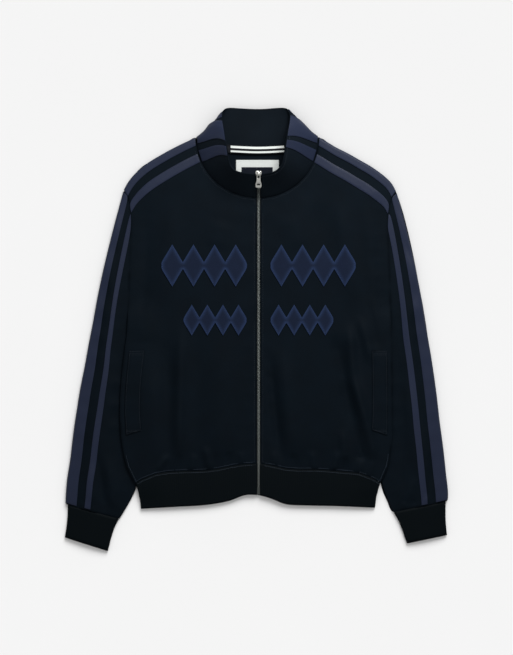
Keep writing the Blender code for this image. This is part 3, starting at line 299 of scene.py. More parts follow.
def knit_finish(name, base, turn=0.0):
    """Brushed jersey: fine wales, a soft nap and an uneven dye, darker in the seams."""
    f = Finish(name, base, 0.70)
    place = f.add("ShaderNodeMapping", ("Rotation", (0, 0, turn)), ("Vector", f.place))["Vector"]
    nap = f.noise(0.0016, 3.0, 0.7)
    cloth = f.shades(f.total((0.55, f.patches(0.045, 4.0, 0.34, 2.6)), (0.45, nap)), 0.80, 1.24)
    # Painted shade: the cloth darkens in patches near its cut edges, as shade falls in the seams' grooves.
    seam_shade = f.times(f.by_seam(0.0030), f.patches(0.03, 1.0, 0.25, 2.2))
    f.paint(f.blend(f.times(seam_shade, 0.55), cloth, shade(base, 0.1)))
    f.put(f.maths("SUBTRACT", 0.055, f.times(seam_shade, 0.025)), f.shader["Specular IOR Level"])
    f.emboss(0.00022, 0.55, (0.45, f.bands(0.0012, "X", 0.6, place)), (0.55, f.noise(0.0007, 2.0, 0.6)),
             (0.9, nap), (-2.0, f.by_seam(0.005)))


def rib_finish(name, base):
    """Knit between the ribs: a soft nap and fine courses."""
    f = Finish(name, base, 0.65, specular=0.05)
    nap = f.noise(0.0014, 3.0, 0.7)
    f.paint(f.shades(nap, 0.78, 1.26))
    f.emboss(0.00018, 0.5, (0.7, nap), (0.4, f.bands(0.0011, "Y", 0.8)))


def tape_finish(name, base, pitch, roughness, specular):
    """A woven tape: fine cross ribs over a slightly uneven dye."""
    f = Finish(name, base, roughness, specular=specular)
    mottle, weave = f.noise(0.03, 3.0), f.bands(pitch, "DIAGONAL", 0.3)
    f.paint(f.shades(f.total((0.7, mottle), (0.3, weave)), 0.84, 1.18))
    f.emboss(0.00016, 0.55, (0.7, weave), (0.5, f.noise(0.0009, 2.0)))


def felt_finish(name, base):
    """Felt: short matted fibres, with a paler border."""
    f = Finish(name, base, 0.75, specular=0.08)
    fibres, clumps = f.noise(0.0011, 5.0, 0.75), f.noise(0.012, 3.0)
    cloth = f.shades(f.total((0.6, fibres), (0.4, clumps)), 0.55, 1.1)
    f.paint(f.blend(f.times(f.by_seam(0.0042), 0.9), cloth, shade(base, 2.3)))
    f.emboss(0.0004, 0.7, (1.0, fibres), (0.4, clumps))


def neck_tape_finish(name, base):
    """Grosgrain with two white stripes by its UV map, whose U is the length along it in metres."""
    f = Finish(name, base, 0.65, specular=0.12)
    along, across, _ = f.add("ShaderNodeSeparateXYZ", (0, f.add("ShaderNodeTexCoord")["UV"]))
    stripes = f.maths("MAXIMUM", *(
        f.times(f.maths("GREATER_THAN", across, low), f.maths("LESS_THAN", across, high))
        for low, high in ((0.63, 0.91), (0.13, 0.35))))
    # The stripes stop short of the tape's ends: the bare dark tape there stands for the collar's fold over
    # the tape and is painted shade of that fold.
    for test, end in (("GREATER_THAN", -0.0464), ("LESS_THAN", 0.0498)):  # short of the collar's fold
        stripes = f.times(stripes, f.maths(test, along, end))
    grain = f.maths("SINE", f.times(along, 2 * math.pi / 0.0013))
    tone = f.maths("ADD", f.times(grain, 0.35), 0.5)
    f.paint(f.blend(stripes, f.shades(tone, 0.7, 1.3), f.shades(tone, 0.86, 1.04, settings().cloth.white)))
    f.emboss(0.0002, 0.6, (0.5, grain), (0.8, stripes))


def metal_finish(name, base, roughness, grain):
    """Worn metal: faint marks in its colour, gloss and surface."""
    f = Finish(name, base, roughness, metallic=1.0)
    marks = f.noise(grain, 4.0, 0.65)
    f.paint(f.shades(marks, 0.82, 1.1))
    f.put(f.maths("ADD", f.times(marks, 0.22), roughness - 0.1), f.shader["Roughness"])
    f.emboss(0.00005, 0.4, (1.0, marks))


# Material: the record's slot, the finish, its colour and a factor on that, and the finish's values.
FINISHES = {
    "jersey": ("jersey", knit_finish, "jersey", 1.0),
    "jersey_left": ("jersey", knit_finish, "jersey", 1.0, 0.13),
    "jersey_right": ("jersey", knit_finish, "jersey", 1.0, -0.13),
    # painted light: the collar's jersey is painted paler than the body's jersey
    "jersey_collar": ("jersey", knit_finish, "collar", 1.0),
    "rib": ("rib", rib_finish, "rib", 1.0),
    "stripe": ("stripe", tape_finish, "stripe", 1.0, 0.0012, 0.45, 0.18),
    "felt": ("felt", felt_finish, "felt", 1.0),
    "tape": ("tape", tape_finish, "tape", 1.0, 0.0011, 0.7, 0.1),
    "neck_tape": ("tape", neck_tape_finish, "tape", 1.0),
    "white": ("white", tape_finish, "white", 0.8, 0.0007, 0.42, 0.3),
    "label": ("label", tape_finish, "label", 1.0, 0.0007, 0.55, 0.05),
    "thread": ("jersey", tape_finish, "thread", 1.0, 0.0006, 0.5, 0.2),
    # painted highlight: the hem's stitches are the sewing thread at three times its lightness
    "hem_thread": ("jersey", tape_finish, "thread", 3.0, 0.0006, 0.5, 0.2),
    "stripe_thread": ("stripe", tape_finish, "stripe", 1.3, 0.0006, 0.5, 0.2),
    "felt_thread": ("felt", tape_finish, "felt", 3.2, 0.0006, 0.5, 0.2),
    "white_thread": ("white", tape_finish, "white", 1.0, 0.0006, 0.5, 0.4),
    "teeth": ("metal", metal_finish, "teeth", 1.0, 0.38, 0.002),
    "slider": ("metal", metal_finish, "slider", 1.0, 0.30, 0.004),
}


def finish(name):
    """The material of that name, made at the first call."""
    if "jacket_" + name not in bpy.data.materials:
        _, make, tint, factor, *values = FINISHES[name]
        owner = settings().zip if make is metal_finish else settings().cloth
        make("jacket_" + name, shade(getattr(owner, tint), factor), *values)
    return bpy.data.materials["jacket_" + name]


# ---- meshes and objects ----
def mesh_of(bm, outward=False):
    """A mesh from a bmesh, which is freed. Its faces are turned outward if asked."""
    if outward:
        bmesh.ops.recalc_face_normals(bm, faces=bm.faces[:])
    mesh = bpy.data.meshes.new("mesh")
    bm.to_mesh(mesh)
    bm.free()
    return mesh


def in_scene(name, data):
    """A new object in the scene."""
    added = bpy.data.objects.new(name, data)
    bpy.context.scene.collection.objects.link(added)
    return added


def with_modifier(mesh, kind, inputs=(), **values):
    """The mesh with one modifier applied, as a new mesh in its place."""
    carrier = in_scene("carrier", mesh)
    modifier = carrier.modifiers.new(kind.lower(), kind)
    for key, value in values.items():
        setattr(modifier, key, value)
    for identifier, value in inputs:
        modifier[identifier] = value
    bpy.context.view_layer.update()
    result = bpy.data.meshes.new_from_object(carrier.evaluated_get(bpy.context.evaluated_depsgraph_get()))
    carrier.modifiers.remove(modifier)
    bpy.data.objects.remove(carrier)
    bpy.data.meshes.remove(mesh)
    return result


def rounded(mesh, width, segments, profile):
    return with_modifier(mesh, "BEVEL", width=width, segments=segments, profile=profile, limit_method="ANGLE",
                         angle_limit=BEND)


def smoothed(mesh, levels):
    return with_modifier(mesh, "SUBSURF", levels=levels, render_levels=levels)


def points_of(mesh, kind="co"):
    """The points of a mesh, or their normals."""
    values = np.zeros(len(mesh.vertices) * 3)
    mesh.vertices.foreach_get(kind, values)
    return values.reshape(-1, 3)


def set_points(mesh, points):
    mesh.vertices.foreach_set("co", np.asarray(points, float).ravel())
    mesh.update()


def tree_of(mesh):
    mesh.calc_loop_triangles()
    return BVHTree.FromPolygons([v.co for v in mesh.vertices], [t.vertices for t in mesh.loop_triangles])


def hit(tree, x, y, side=1):
    """Where a surface is met from above, or from below where side is -1."""
    return tree.ray_cast(Vector((x, y, side)), Vector((0, 0, -side)))[0]


def add_piece(name, mesh, material, node=None, body=BODY, rounding=0.0):
    """A finished piece from a mesh in place, which may stand for a node."""
    if rounding:
        mesh = rounded(mesh, rounding, 2, 0.55)
    mesh.name = name
    mesh.materials.clear()
    mesh.materials.append(finish(material))
    mesh.shade_smooth()
    piece = in_scene(name, mesh)
    bpy.data.collections["lit_jacket"].objects.link(piece)
    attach(piece, body)
    if node:
        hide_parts(node)
    return piece


def dress(node, ending, wall, material, cut, rounding=0.0):
    """Adds a node's cloth, and says how it was cut and what it lies on."""
    piece = add_piece(f"{node}_{ending}", wall.mesh, material, node, rounding=rounding)
    flat, area = cut_of(node, cut)


# ---- shells over the solids ----
def merged(node):
    """The node's solid with its doubles merged and its triangles joined to quads."""
    bm = bmesh.new()
    bm.from_mesh(NODES[node].data)
    bmesh.ops.remove_doubles(bm, verts=bm.verts[:], dist=2e-6)
    bmesh.ops.join_triangles(bm, faces=bm.faces[:], angle_face_threshold=0.7, angle_shape_threshold=0.9)
    bm.normal_update()
    return bm


def cut_edges(bm):
    return [e for e in bm.edges if e.calc_face_angle(0.0) > SHARP]


def cut_of(node, cut):
    """Flat size and area of a node's cloth: half its wall. The cut is panel, strip or a tube's length."""
    bm = merged(node)
    area = sum(f.calc_area() for f in bm.faces) / 2
    half_edge = sum(e.calc_length() for e in cut_edges(bm)) / 2 / 2
    bm.free()
    if cut == "panel":
        low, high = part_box(node)
        flat = (high.x - low.x + 0.01, high.y - low.y + 0.01)
        return flat, min(area, flat[0] * flat[1])
    if cut == "strip":
        long = (half_edge + math.sqrt(max(half_edge * half_edge - 4 * area, 0.0))) / 2
        return (max(area / long, 0.0102), long), area
    return (area / cut, cut), area


def edge_loops(edges, rims, out):
    """Lines of points along a wall's cut edges, with the way out of the cloth at each."""
    neighbours = {}
    for e in edges:
        if sum(f in rims for f in e.link_faces) == 1:
            for v in e.verts:
                neighbours.setdefault(v, []).append(e.other_vert(v))
    loops, seen = [], set()
    for start in sorted(neighbours, key=lambda v: (len(neighbours[v]) == 2, v.index)):
        if start in seen:
            continue
        loop, ahead = [], [start]
        while ahead:
            loop.append(ahead[0])
            seen.add(ahead[0])
            ahead = [v for v in neighbours[loop[-1]] if v not in seen]
        if len(loop) < 4:
            continue
        if start in neighbours[loop[-1]]:
            loop.append(start)
        loops.append((np.array([v.co[:] for v in loop]), np.array([out[v].normalized()[:] for v in loop])))
    return loops


def resampled(points, out):
    """The points and ways out at even steps along a line, and the line's length."""
    along = np.concatenate([[0.0], np.cumsum(np.linalg.norm(np.diff(points, axis=0), axis=1))])
    at = np.linspace(0, along[-1], max(4, round(along[-1] / LINE_STEP)))
    points, out = (np.stack([np.interp(at, along, row) for row in values.T], -1) for values in (points, out))
    return points, out / np.maximum(np.linalg.norm(out, axis=1, keepdims=True), 1e-9), along[-1]


class Wall:
    """A cloth wall over a node's solid: its smooth mesh, and the loops of its cut edges.

    Its rims stand out to close the seams. The passes bring it through the solid's points.
    """

    def __init__(self, node, levels=3, close=0.00022, change=None, passes=3):
        bm = merged(node)
        if change:
            change(bm)
        crease = bm.edges.layers.float.new("crease_edge")
        edges = cut_edges(bm)
        at_cut = {v for e in edges for v in e.verts}
        rims = [f for f in bm.faces
                if at_cut.issuperset(f.verts) and min(e.calc_length() for e in f.edges) < WALL]
        out = {}
        for f in rims:
            for v in f.verts:
                out[v] = out.get(v, Vector()) + f.normal
        for v, way in out.items():
            v.co += close * way.normalized()
        for e in edges:
            e[crease] = 1.0
        self.loops = edge_loops(edges, set(rims), out)
        mesh = mesh_of(bm)
        wanted = points_of(mesh)
        for _ in range(passes):
            reached = points_of(smoothed(mesh.copy(), 2))[: len(wanted)]
            set_points(mesh, points_of(mesh) + PASS_SHARE * (wanted - reached))
        self.mesh = smoothed(mesh, levels)
        self.mark_seams()

    def mark_seams(self):
        """Gives the mesh the attribute "seam": each point's distance from a cut edge."""
        edge = [p for points, out in self.loops for p in resampled(points, out)[0]]
        tree = KDTree(len(edge))
        for k, point in enumerate(edge):
            tree.insert(point, k)
        tree.balance()
        distance = [tree.find(p)[2] for p in points_of(self.mesh)]
        self.mesh.attributes.new("seam", "FLOAT", "POINT").data.foreach_set("value", distance)

    def lift(self, rise):
        """Raises the cloth by a function of its points, and gives the wall."""
        points = points_of(self.mesh)
        points[:, 2] += rise(points)
        set_points(self.mesh, points)
        for points, _ in self.loops:
            points[:, 2] += rise(points)
        return self


# ---- relief ----
@cache
class Zone:
    """Plan of a few nodes, made once: how far a point lies from their edges, and their heights."""

    def __init__(self, *nodes):
        edge, faces, points = [], [], []
        for node in nodes:
            bm = merged(node)
            cut = {v for e in cut_edges(bm) for v in e.verts}
            edge += [v.co[:2] for v in bm.verts if v in cut or abs(v.normal.z) < 0.35]
            bm.verts.index_update()
            faces += [[len(points) + v.index for v in f.verts] for f in bm.faces]
            points += [v.co.copy() for v in bm.verts]
            bm.free()
        self.edge = np.array(edge)
        self.tree = BVHTree.FromPolygons(points, faces)

    def distance(self, plan):
        found = np.empty(len(plan))
        for i in range(0, len(plan), 4000):  # in parts, to spare memory
            part = plan[i : i + 4000]
            found[i : i + 4000] = np.sqrt(((part[:, None] - self.edge[None]) ** 2).sum(-1).min(1))
        return found

    def levels(self, plan):
        """Heights of the lowest and highest face over each point, or nan outside the zone."""
        found = np.full((len(plan), 2), np.nan)
        for i, (x, y) in enumerate(plan):
            low, high = hit(self.tree, x, y, -1), hit(self.tree, x, y)
            if low and high:
                found[i] = low.z, high.z
        return found


def ridges(plan, table, side=None):
    """Sum of the folds in a table, or of those on one side, in metres."""
    x, y = plan[:, 0] * 1000, plan[:, 1] * 1000
    total = np.zeros(len(plan))
    for x0, y0, x1, y1, half_width, height in table:
        if side and (x0 < 0) != (side == "left"):
            continue
        way = np.array([x1 - x0, y1 - y0], float)
        t = ((x - x0) * way[0] + (y - y0) * way[1]) / (way @ way)
        across = ((x - x0) * way[1] - (y - y0) * way[0]) / np.hypot(*way)
        fade = smooth(-0.22, 0.25, t) * (1 - smooth(0.75, 1.22, t))
        total += height * fade * np.exp(-((across / half_width) ** 2))
    return settings().cloth.folds * (total / 1000)


def front_relief(points):
    """How far a front's cloth stands above its solid."""
    plan = points[:, :2]
    inside = Zone(*FRONTS).distance(plan)
    broad = FRONT_LIFT * smooth(0.004, 0.05, inside) + ridges(plan, FRONT_FOLDS) * smooth(0.003, 0.03, inside)
    return broad + ridges(plan, HEM_PUCKERS) * smooth(0.0, 0.008, inside)


def sleeve_relief(side, points):
    """The same for a sleeve, whose lower layer lies flat."""
    plan = points[:, :2]
    sleeve, fronts = Zone("sleeve_" + side), Zone(*FRONTS)
    inside = sleeve.distance(plan)
    covered = ~np.isnan(fronts.levels(plan)[:, 0])
    shown = np.where(covered, 0.0, smooth(0.004, 0.03, fronts.distance(plan)))
    broad = (SLEEVE_LIFT + ridges(plan, SLEEVE_FOLDS, side)) * smooth(0.006, 0.032, inside)
    small = ridges(plan, CUFF_PUCKERS, side) * smooth(0.0, 0.01, inside)
    middle = np.nan_to_num(sleeve.levels(plan).mean(1), nan=0.0037)
    upper = smooth(-0.0006, 0.0006, points[:, 2] - middle)
    return (broad + small) * shown * upper


def close_armpit(mesh):
    """Presses the sleeve's fold against the body below the armpit, so that no gap shows."""
    points = points_of(mesh)
    beside = 1 - smooth(0.003, 0.012, Zone(*FRONTS).distance(points[:, :2]))
    near = np.exp(-(((points[:, 1] - ARMPIT_Y) / 0.012) ** 2))
    points[:, 0] -= 0.0014 * np.sign(points[:, 0]) * beside * near
    set_points(mesh, points)


# ---- stitch lines ----
STITCH_LINES = {thread: [] for thread in FINISHES if thread.endswith("thread")}


def kept_runs(line, keep):
    """The stretches of a line whose points pass a test."""
    runs = [np.array(list(run)) for kept, run in groupby(line, keep) if kept]
    return [run for run in runs if len(run) > 2]


def sew(wall, inset, facing="up", thread="thread", keep=lambda p: True, lift=STITCH_LIFT):
    """Marks a stitch line inside a wall's cut edges, on its upper, lower or outer face."""
    tree = tree_of(wall.mesh)
    found = []
    for points, out in wall.loops:
        points, out, size = resampled(points, out)
        laid = [tree.find_nearest(Vector(p)) for p in points - inset * out]
        upward = np.mean([normal.z for _, normal, _, _ in laid])
        runs = kept_runs(np.array([near + lift * normal for near, normal, _, _ in laid]), keep)
        if runs and (facing == "outer" or (upward > 0.3) == (facing == "up")):
            found.append((size, runs))
    if facing == "outer":
        found = sorted(found, key=lambda item: item[0])[-1:]
    for _, runs in found:
        STITCH_LINES[thread] += runs


def by_zip(p):
    return abs(p[0] - ZIP_X) < ZIP_REACH


# ---- body ----
def build_body():
    """Dresses the back and both fronts"""
    for side in SIDES:
        wall = Wall("front_" + side).lift(front_relief)
        sew(wall, 0.0045, keep=lambda p: by_zip(p) and p[1] < 0.21)
        sew(wall, 0.0030, thread="hem_thread", keep=lambda p: p[1] < HEM_Y and not by_zip(p))
        sew(wall, 0.0040, keep=lambda p: p[1] > NECK_Y and abs(p[0]) < 0.11)
        dress("front_" + side, "cloth", wall, "jersey", "panel", 0.0006)
    wall = Wall("back", 2)
    sew(wall, 0.0030, facing="down", thread="hem_thread", keep=lambda p: p[1] < HEM_Y)
    dress("back", "cloth", wall, "jersey", "panel", 0.0006)


def build_sleeves():
    """Dresses both sleeves"""
    for side in SIDES:
        wall = Wall("sleeve_" + side).lift(lambda points: sleeve_relief(side, points))
        close_armpit(wall.mesh)
        sew(wall, 0.0035, facing="outer", keep=lambda p: p[1] < -0.27)
        dress("sleeve_" + side, "cloth", wall, "jersey_" + side, SLEEVE_LENGTH, 0.0006)


def build_collar():
    """Dresses the standing collar"""
    wall = Wall("collar", 2)
    sew(wall, 0.005, facing="outer", keep=lambda p: p[2] > 0.02 or p[1] > 0.36)
    dress("collar", "cloth", wall, "jersey_collar", "strip", 0.0009)


# ---- ribs ----
def cut_across(mesh, is_across, cuts):
    """Splits the edges that run across the ribs, to give the ribs points."""
    bm = bmesh.new()
    bm.from_mesh(mesh)
    edges = [e for e in bm.edges if is_across(e.verts[0].co - e.verts[1].co, e.calc_length())]
    bmesh.ops.subdivide_edges(bm, edges=edges, cuts=cuts, use_grid_fill=False)
    bm.normal_update()
    bm.to_mesh(mesh)
    bm.free()


def raise_ribs(mesh, phase):
    """Moves the wall out along its normals in rounded ribs."""
    rise = settings().rib.depth * (0.5 + 0.5 * np.cos(2 * math.pi * phase)) ** 0.75
    set_points(mesh, points_of(mesh) + points_of(mesh, "normal") * rise[:, None])


def envelope(along, across, count, least=0):
    """The middles of even bins along a shape, and its reach to both sides in each."""
    ends = np.linspace(along.min(), along.max(), count)
    rows = []
    for a, b in zip(ends[:-1], ends[1:]):
        inside = across[(along >= a) & (along <= b)]
        if len(inside) > least:
            rows.append(((a + b) / 2, inside.min(), inside.max()))
    return np.array(rows).T


def build_ribs():
    """Knits the hem band and both cuffs"""
    ribs = settings().rib
    wall = Wall("hem_band", 2, passes=1)
    cut_across(wall.mesh, lambda way, size: abs(way.x) > 0.8 * size > 0.0008, 8)
    raise_ribs(wall.mesh, points_of(wall.mesh)[:, 0] / ribs.hem_pitch)
    for facing in ("up", "down"):
        sew(wall, 0.0028, facing, "hem_thread", keep=lambda p: p[1] > -0.29 and not by_zip(p), lift=0.0002)
    dress("hem_band", "cloth", wall, "rib", HEM_LENGTH)
    for side in SIDES:
        wall = Wall("cuff_" + side, 2, passes=0)
        points = points_of(wall.mesh)
        low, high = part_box("cuff_" + side)
        top = points[points[:, 1] > high.y - 0.02].mean(0)
        foot = points[points[:, 1] < low.y + 0.02].mean(0)
        axis = Vector((foot - top)[:2]).normalized()
        cut_across(wall.mesh, lambda way, size: abs(way.xy @ axis) < 0.5 * size, 4)
        plan = points_of(wall.mesh)[:, :2]
        t, s = plan @ np.array(axis), plan @ np.array((-axis.y, axis.x))
        middles, lows, highs = envelope(t, s, 9, 20)
        first, last = (np.polyval(np.polyfit(middles, reach, 1), t) for reach in (lows, highs))
        raise_ribs(wall.mesh, (s - first) / (last - first) * round(CUFF_WIDTH / ribs.cuff_pitch))
        dress("cuff_" + side, "cloth", wall, "rib", CUFF_LENGTH)


# ---- stripes, trim and motif ----
def build_stripes():
    """Lays the stripe tapes"""
    for node in sorted(n for n in NODES if n.startswith("stripe_")):
        _, under, *_, side = node.split("_")
        wall = Wall(node, 2)
        if under == "sleeve":
            wall.lift(lambda points: sleeve_relief(side, points))
        elif under == "shoulder" and "back" not in node:
            wall.lift(lambda points: front_relief(points) * smooth(0.003, 0.005, points[:, 2]))
        sew(wall, 0.0012, facing="outer", thread="stripe_thread")
        dress(node, "tape", wall, "stripe", "strip", 0.00035)


def split_long_edges(bm):
    """Gives a plain plate the points that a soft wave needs."""
    long = [e for e in bm.edges if e.calc_length() > 0.01]
    bmesh.ops.subdivide_edges(bm, edges=long, cuts=5, use_grid_fill=True)


def label_wave(points):
    """How far a label stands above its solid."""
    return 0.0004 + 0.0003 * np.sin(points[:, 0] * 95 + 1.0) * np.cos(points[:, 1] * 120)


def build_neck_trim():
    """Adds the neck tape, the labels and the zip tapes"""
    wall = Wall("neck_tape", 2)
    x, y, _ = points_of(wall.mesh).T
    middles, lows, highs = envelope(x, y, 25)
    low, high = np.interp(x, middles, lows), np.interp(x, middles, highs)
    across = (y - low) / (high - low)
    layer = wall.mesh.uv_layers.new(name="tape")
    for loop in wall.mesh.loops:
        layer.data[loop.index].uv = (x[loop.vertex_index], across[loop.vertex_index])
    dress("neck_tape", "band", wall, "neck_tape", "strip", 0.0003)
    for node, material, thread in (("neck_label", "white", "white_thread"),
                                   ("size_label", "label", "thread")):
        wall = Wall(node, 2, 0.0, split_long_edges).lift(label_wave)
        sew(wall, 0.0018, thread=thread)
        dress(node, "woven", wall, material, "panel", 0.0003)
    for side in SIDES:
        dress("zip_tape_" + side, "woven", Wall("zip_tape_" + side, 2), "tape", "strip", 0.0002)


def build_pockets():
    """Dresses the pocket welts"""
    for side in SIDES:
        wall = Wall("welt_" + side).lift(front_relief)
        sew(wall, 0.0016)
        tree = tree_of(wall.mesh)
        low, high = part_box("welt_" + side)
        for y in (low.y + 0.006, low.y + 0.0085, high.y - 0.006, high.y - 0.0085):  # the bars at both ends
            bar = [hit(tree, x, y) for x in np.linspace(low.x + 0.004, high.x - 0.004, 12)]
            STITCH_LINES["thread"].append(np.array([p + Vector((0, 0, STITCH_LIFT)) for p in bar if p]))
        dress("welt_" + side, "cloth", wall, "jersey", "strip", 0.0005)


def build_motif():
    """Lays the felt lozenges on the chest"""
    for node in sorted(n for n in NODES if n.startswith("motif_")):
        wall = Wall(node, 2, 0.0).lift(front_relief)
        sew(wall, 0.0016, thread="felt_thread")
        dress(node, "felt", wall, "felt", "panel", 0.0004)


# ---- Geometry Nodes ----
class Tree(Graph):
    """A Geometry Nodes group that lays a shape along a path."""

    def __init__(self, name, *sizes):
        super().__init__(bpy.data.node_groups.new(name, "GeometryNodeTree"))
        new_socket = self.tree.interface.new_socket
        new_socket(name="Geometry", in_out="OUTPUT", socket_type="NodeSocketGeometry")
        for label, kind in (("Geometry", "Geometry"), *((size, "Float") for size in sizes),
                            ("Shape", "Object"), ("Material", "Material")):
            new_socket(name=label, in_out="INPUT", socket_type="NodeSocket" + kind)
        self.given = self.add("NodeGroupInput")
        self.sizes = [self.given[size] for size in sizes]

    def lay(self, spacing, scale, axis, pivot):
        """Lays the shape at even steps along the path, with one axis along it, as one mesh."""
        curve = self.add("GeometryNodeMeshToCurve", (0, self.given["Geometry"]))[0]
        steps = self.add("GeometryNodeResampleCurve", ("Curve", curve), ("Length", spacing), mode="LENGTH")[0]
        way = self.add("GeometryNodeInputTangent")[0]
        turn = self.add("FunctionNodeAlignRotationToVector", ("Vector", way), axis=axis, pivot_axis=pivot)[0]
        shape = self.add("GeometryNodeObjectInfo", ("Object", self.given["Shape"]))["Geometry"]
        size = self.add("ShaderNodeCombineXYZ", *enumerate(scale))[0]
        laid = self.add("GeometryNodeInstanceOnPoints", ("Points", steps), ("Instance", shape),
                        ("Rotation", turn), ("Scale", size))[0]
        real = self.add("GeometryNodeRealizeInstances", (0, laid))[0]
        done = self.add("GeometryNodeSetMaterial", (0, real), ("Material", self.given["Material"]))[0]
        self.add("NodeGroupOutput", (0, done))

    def along(self, lines, shape, material, **sizes):
        """The shape along lines of points, as a plain mesh."""
        points, edges = [], []
        for line in lines:
            edges += [(i - 1, i) for i in range(len(points) + 1, len(points) + len(line))]
            points += [tuple(p) for p in line]
        path = bpy.data.meshes.new("path")
        path.from_pydata(points, edges, [])
        carrier = in_scene("shape", shape)
        values = {"Shape": carrier, "Material": finish(material), **sizes}
        inputs = [(item.identifier, values[item.name]) for item in self.tree.interface.items_tree
                  if item.name in values]
        mesh = with_modifier(path, "NODES", inputs, node_group=self.tree)
        bpy.data.objects.remove(carrier)
        return mesh


def bridge(bm, rings):
    """Adds the faces between rings of points."""
    for a, b in zip(rings[:-1], rings[1:]):
        for i in range(len(a)):
            j = (i + 1) % len(a)
            bm.faces.new((a[i], a[j], b[j], b[i]))


def stitch_shape():
    """One stitch along X, 1 long and 1 thick: a short thread that dips at both ends."""
    bm = bmesh.new()
    rings = []
    for t in (-0.42, -0.16, 0.16, 0.42):
        radius = 0.5 if abs(t) < 0.3 else 0.34
        drop = -0.35 * (abs(t) / 0.42) ** 3
        rings.append([bm.verts.new((t, radius * math.cos(a), drop + radius * math.sin(a)))
                      for a in np.arange(4) * math.pi / 2 + math.pi / 4])
    ends = [bm.verts.new((t, 0, -0.5)) for t in (-0.5, 0.5)]
    bridge(bm, rings)
    for i in range(4):
        bm.faces.new((rings[0][(i + 1) % 4], rings[0][i], ends[0]))
        bm.faces.new((rings[-1][i], rings[-1][(i + 1) % 4], ends[1]))
    return mesh_of(bm, True)


def build_stitching():
    """Sews every marked line"""
    sewing, shape = settings().stitch, stitch_shape()
    tree = Tree("stitches", "Stitch", "Gap", "Thread")
    stitch, gap, thick = tree.sizes
    tree.lay(tree.maths("ADD", stitch, gap), (stitch, thick, thick), "X", "AUTO")
    for thread, lines in STITCH_LINES.items():
        mesh = tree.along(lines, shape, thread, Stitch=sewing.stitch, Gap=sewing.gap, Thread=sewing.thread)
        add_piece("stitches_" + thread, mesh, thread)


# ---- zip ----
def zip_line():
    """The middle of the chain's upper face, from its foot to its top."""
    low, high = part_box("zip_chain")
    tree = tree_of(NODES["zip_chain"].data)
    hits = [hit(tree, (low.x + high.x) / 2, y) for y in np.linspace(low.y + 0.0006, high.y - 0.0004, 420)]
    line = np.array([p for p in hits if p])
    for _ in range(12):
        line[1:-1, 2] = (line[:-2, 2] + 2 * line[1:-1, 2] + line[2:, 2]) / 4
    return line


def tooth_shape():
    """One tooth in unit sizes: X across the chain, Y along it and Z up."""
    bm = bmesh.new()
    outline = ((-1.0, -0.34, 0.36), (-0.25, -0.40, 0.50), (0.10, -0.46, 0.50), (0.30, -0.30, 0.34),
               (0.30, 0.30, 0.34), (0.10, 0.46, 0.50), (-0.25, 0.40, 0.50), (-1.0, 0.34, 0.36))
    top, foot = ([bm.verts.new((x, y, side * h)) for x, y, h in outline] for side in (1, -1))
    bm.faces.new(top)
    bm.faces.new(foot[::-1])
    bridge(bm, (foot, top))
    bmesh.ops.bevel(bm, geom=bm.edges[:], offset=0.07, segments=1, affect="EDGES")
    return mesh_of(bm, True)


def teeth_tree():
    """Teeth along a line, with one side's half a pitch behind the other's."""
    tree = Tree("zip_teeth", "Pitch", "Reach", "Thick")
    pitch, reach, thick = tree.sizes
    odd = tree.maths("MODULO", tree.add("GeometryNodeInputIndex")[0], 2.0)
    side = tree.maths("MULTIPLY_ADD", odd, -2.0, 1.0)
    tree.lay(tree.times(pitch, 0.5), (tree.times(side, reach), tree.times(side, pitch), thick), "Y", "X")
    return tree


def ribbon(line, half, thickness, drop):
    """A closed strip along a line in the YZ plane, drop below it."""
    way = np.gradient(line, axis=0)
    way /= np.linalg.norm(way, axis=1, keepdims=True)
    up = np.stack([np.zeros(len(line)), -way[:, 2], way[:, 1]], -1)
    corners = ((-half, -drop), (half, -drop), (half, -drop - thickness), (-half, -drop - thickness))
    bm = bmesh.new()
    rings = [[bm.verts.new(p + np.array([x, 0, 0]) + z * out) for x, z in corners]
             for p, out in zip(line, up)]
    bridge(bm, rings)
    bm.faces.new(rings[0][::-1])
    bm.faces.new(rings[-1])
    return mesh_of(bm, True)


def pull_frame():
    """The slider's own frame: origin on the collar, Y up the zip and Z out."""
    joint = next(j for j in frame["joints"] if j["child"] == PULL_BODY)
    face = max(NODES["zip_pull"].data.polygons, key=lambda p: p.area * (p.normal.z > 0.2))
    out = face.normal.copy()
    out.x = 0
    out.normalize()
    turn = Matrix((Vector((1, 0, 0)), Vector((0, out.z, -out.y)), out)).transposed()
    hinge = Vector((0, -0.0012, 0.00405))
    return Matrix.Translation(Vector(joint["pos_m"]) - turn @ hinge) @ turn.to_4x4()


def plate(outline, low, high, rounding, holes=()):
    """A plate over an outline, with holes and rounded edges. All but the rounding is in mm."""
    bm = bmesh.new()
    edges = []
    for ring in (outline, *holes):
        verts = [bm.verts.new((x / 1000, y / 1000, low / 1000)) for x, y in ring]
        edges += [bm.edges.new(pair) for pair in zip(verts, verts[1:] + verts[:1])]
    bmesh.ops.triangle_fill(bm, edges=edges, use_beauty=True)
    if not holes:
        bmesh.ops.dissolve_limit(bm, angle_limit=0.01, verts=bm.verts[:], edges=bm.edges[:])
    for item in bmesh.ops.extrude_face_region(bm, geom=bm.faces[:])["geom"]:
        if isinstance(item, bmesh.types.BMVert):
            item.co.z = high / 1000
    return rounded(mesh_of(bm, True), rounding, 3, 0.5)


def oval(y, half_x, half_y):
    """Outline of a rounded oval on the middle line, in mm."""
    angles = np.linspace(0, 2 * math.pi, 24, endpoint=False)
    fuller = 2 / 2.6  # an ellipse would have 1
    return [(half_x * np.sign(a) * abs(a) ** fuller, y + half_y * np.sign(b) * abs(b) ** fuller)
            for a, b in zip(np.cos(angles), np.sin(angles))]


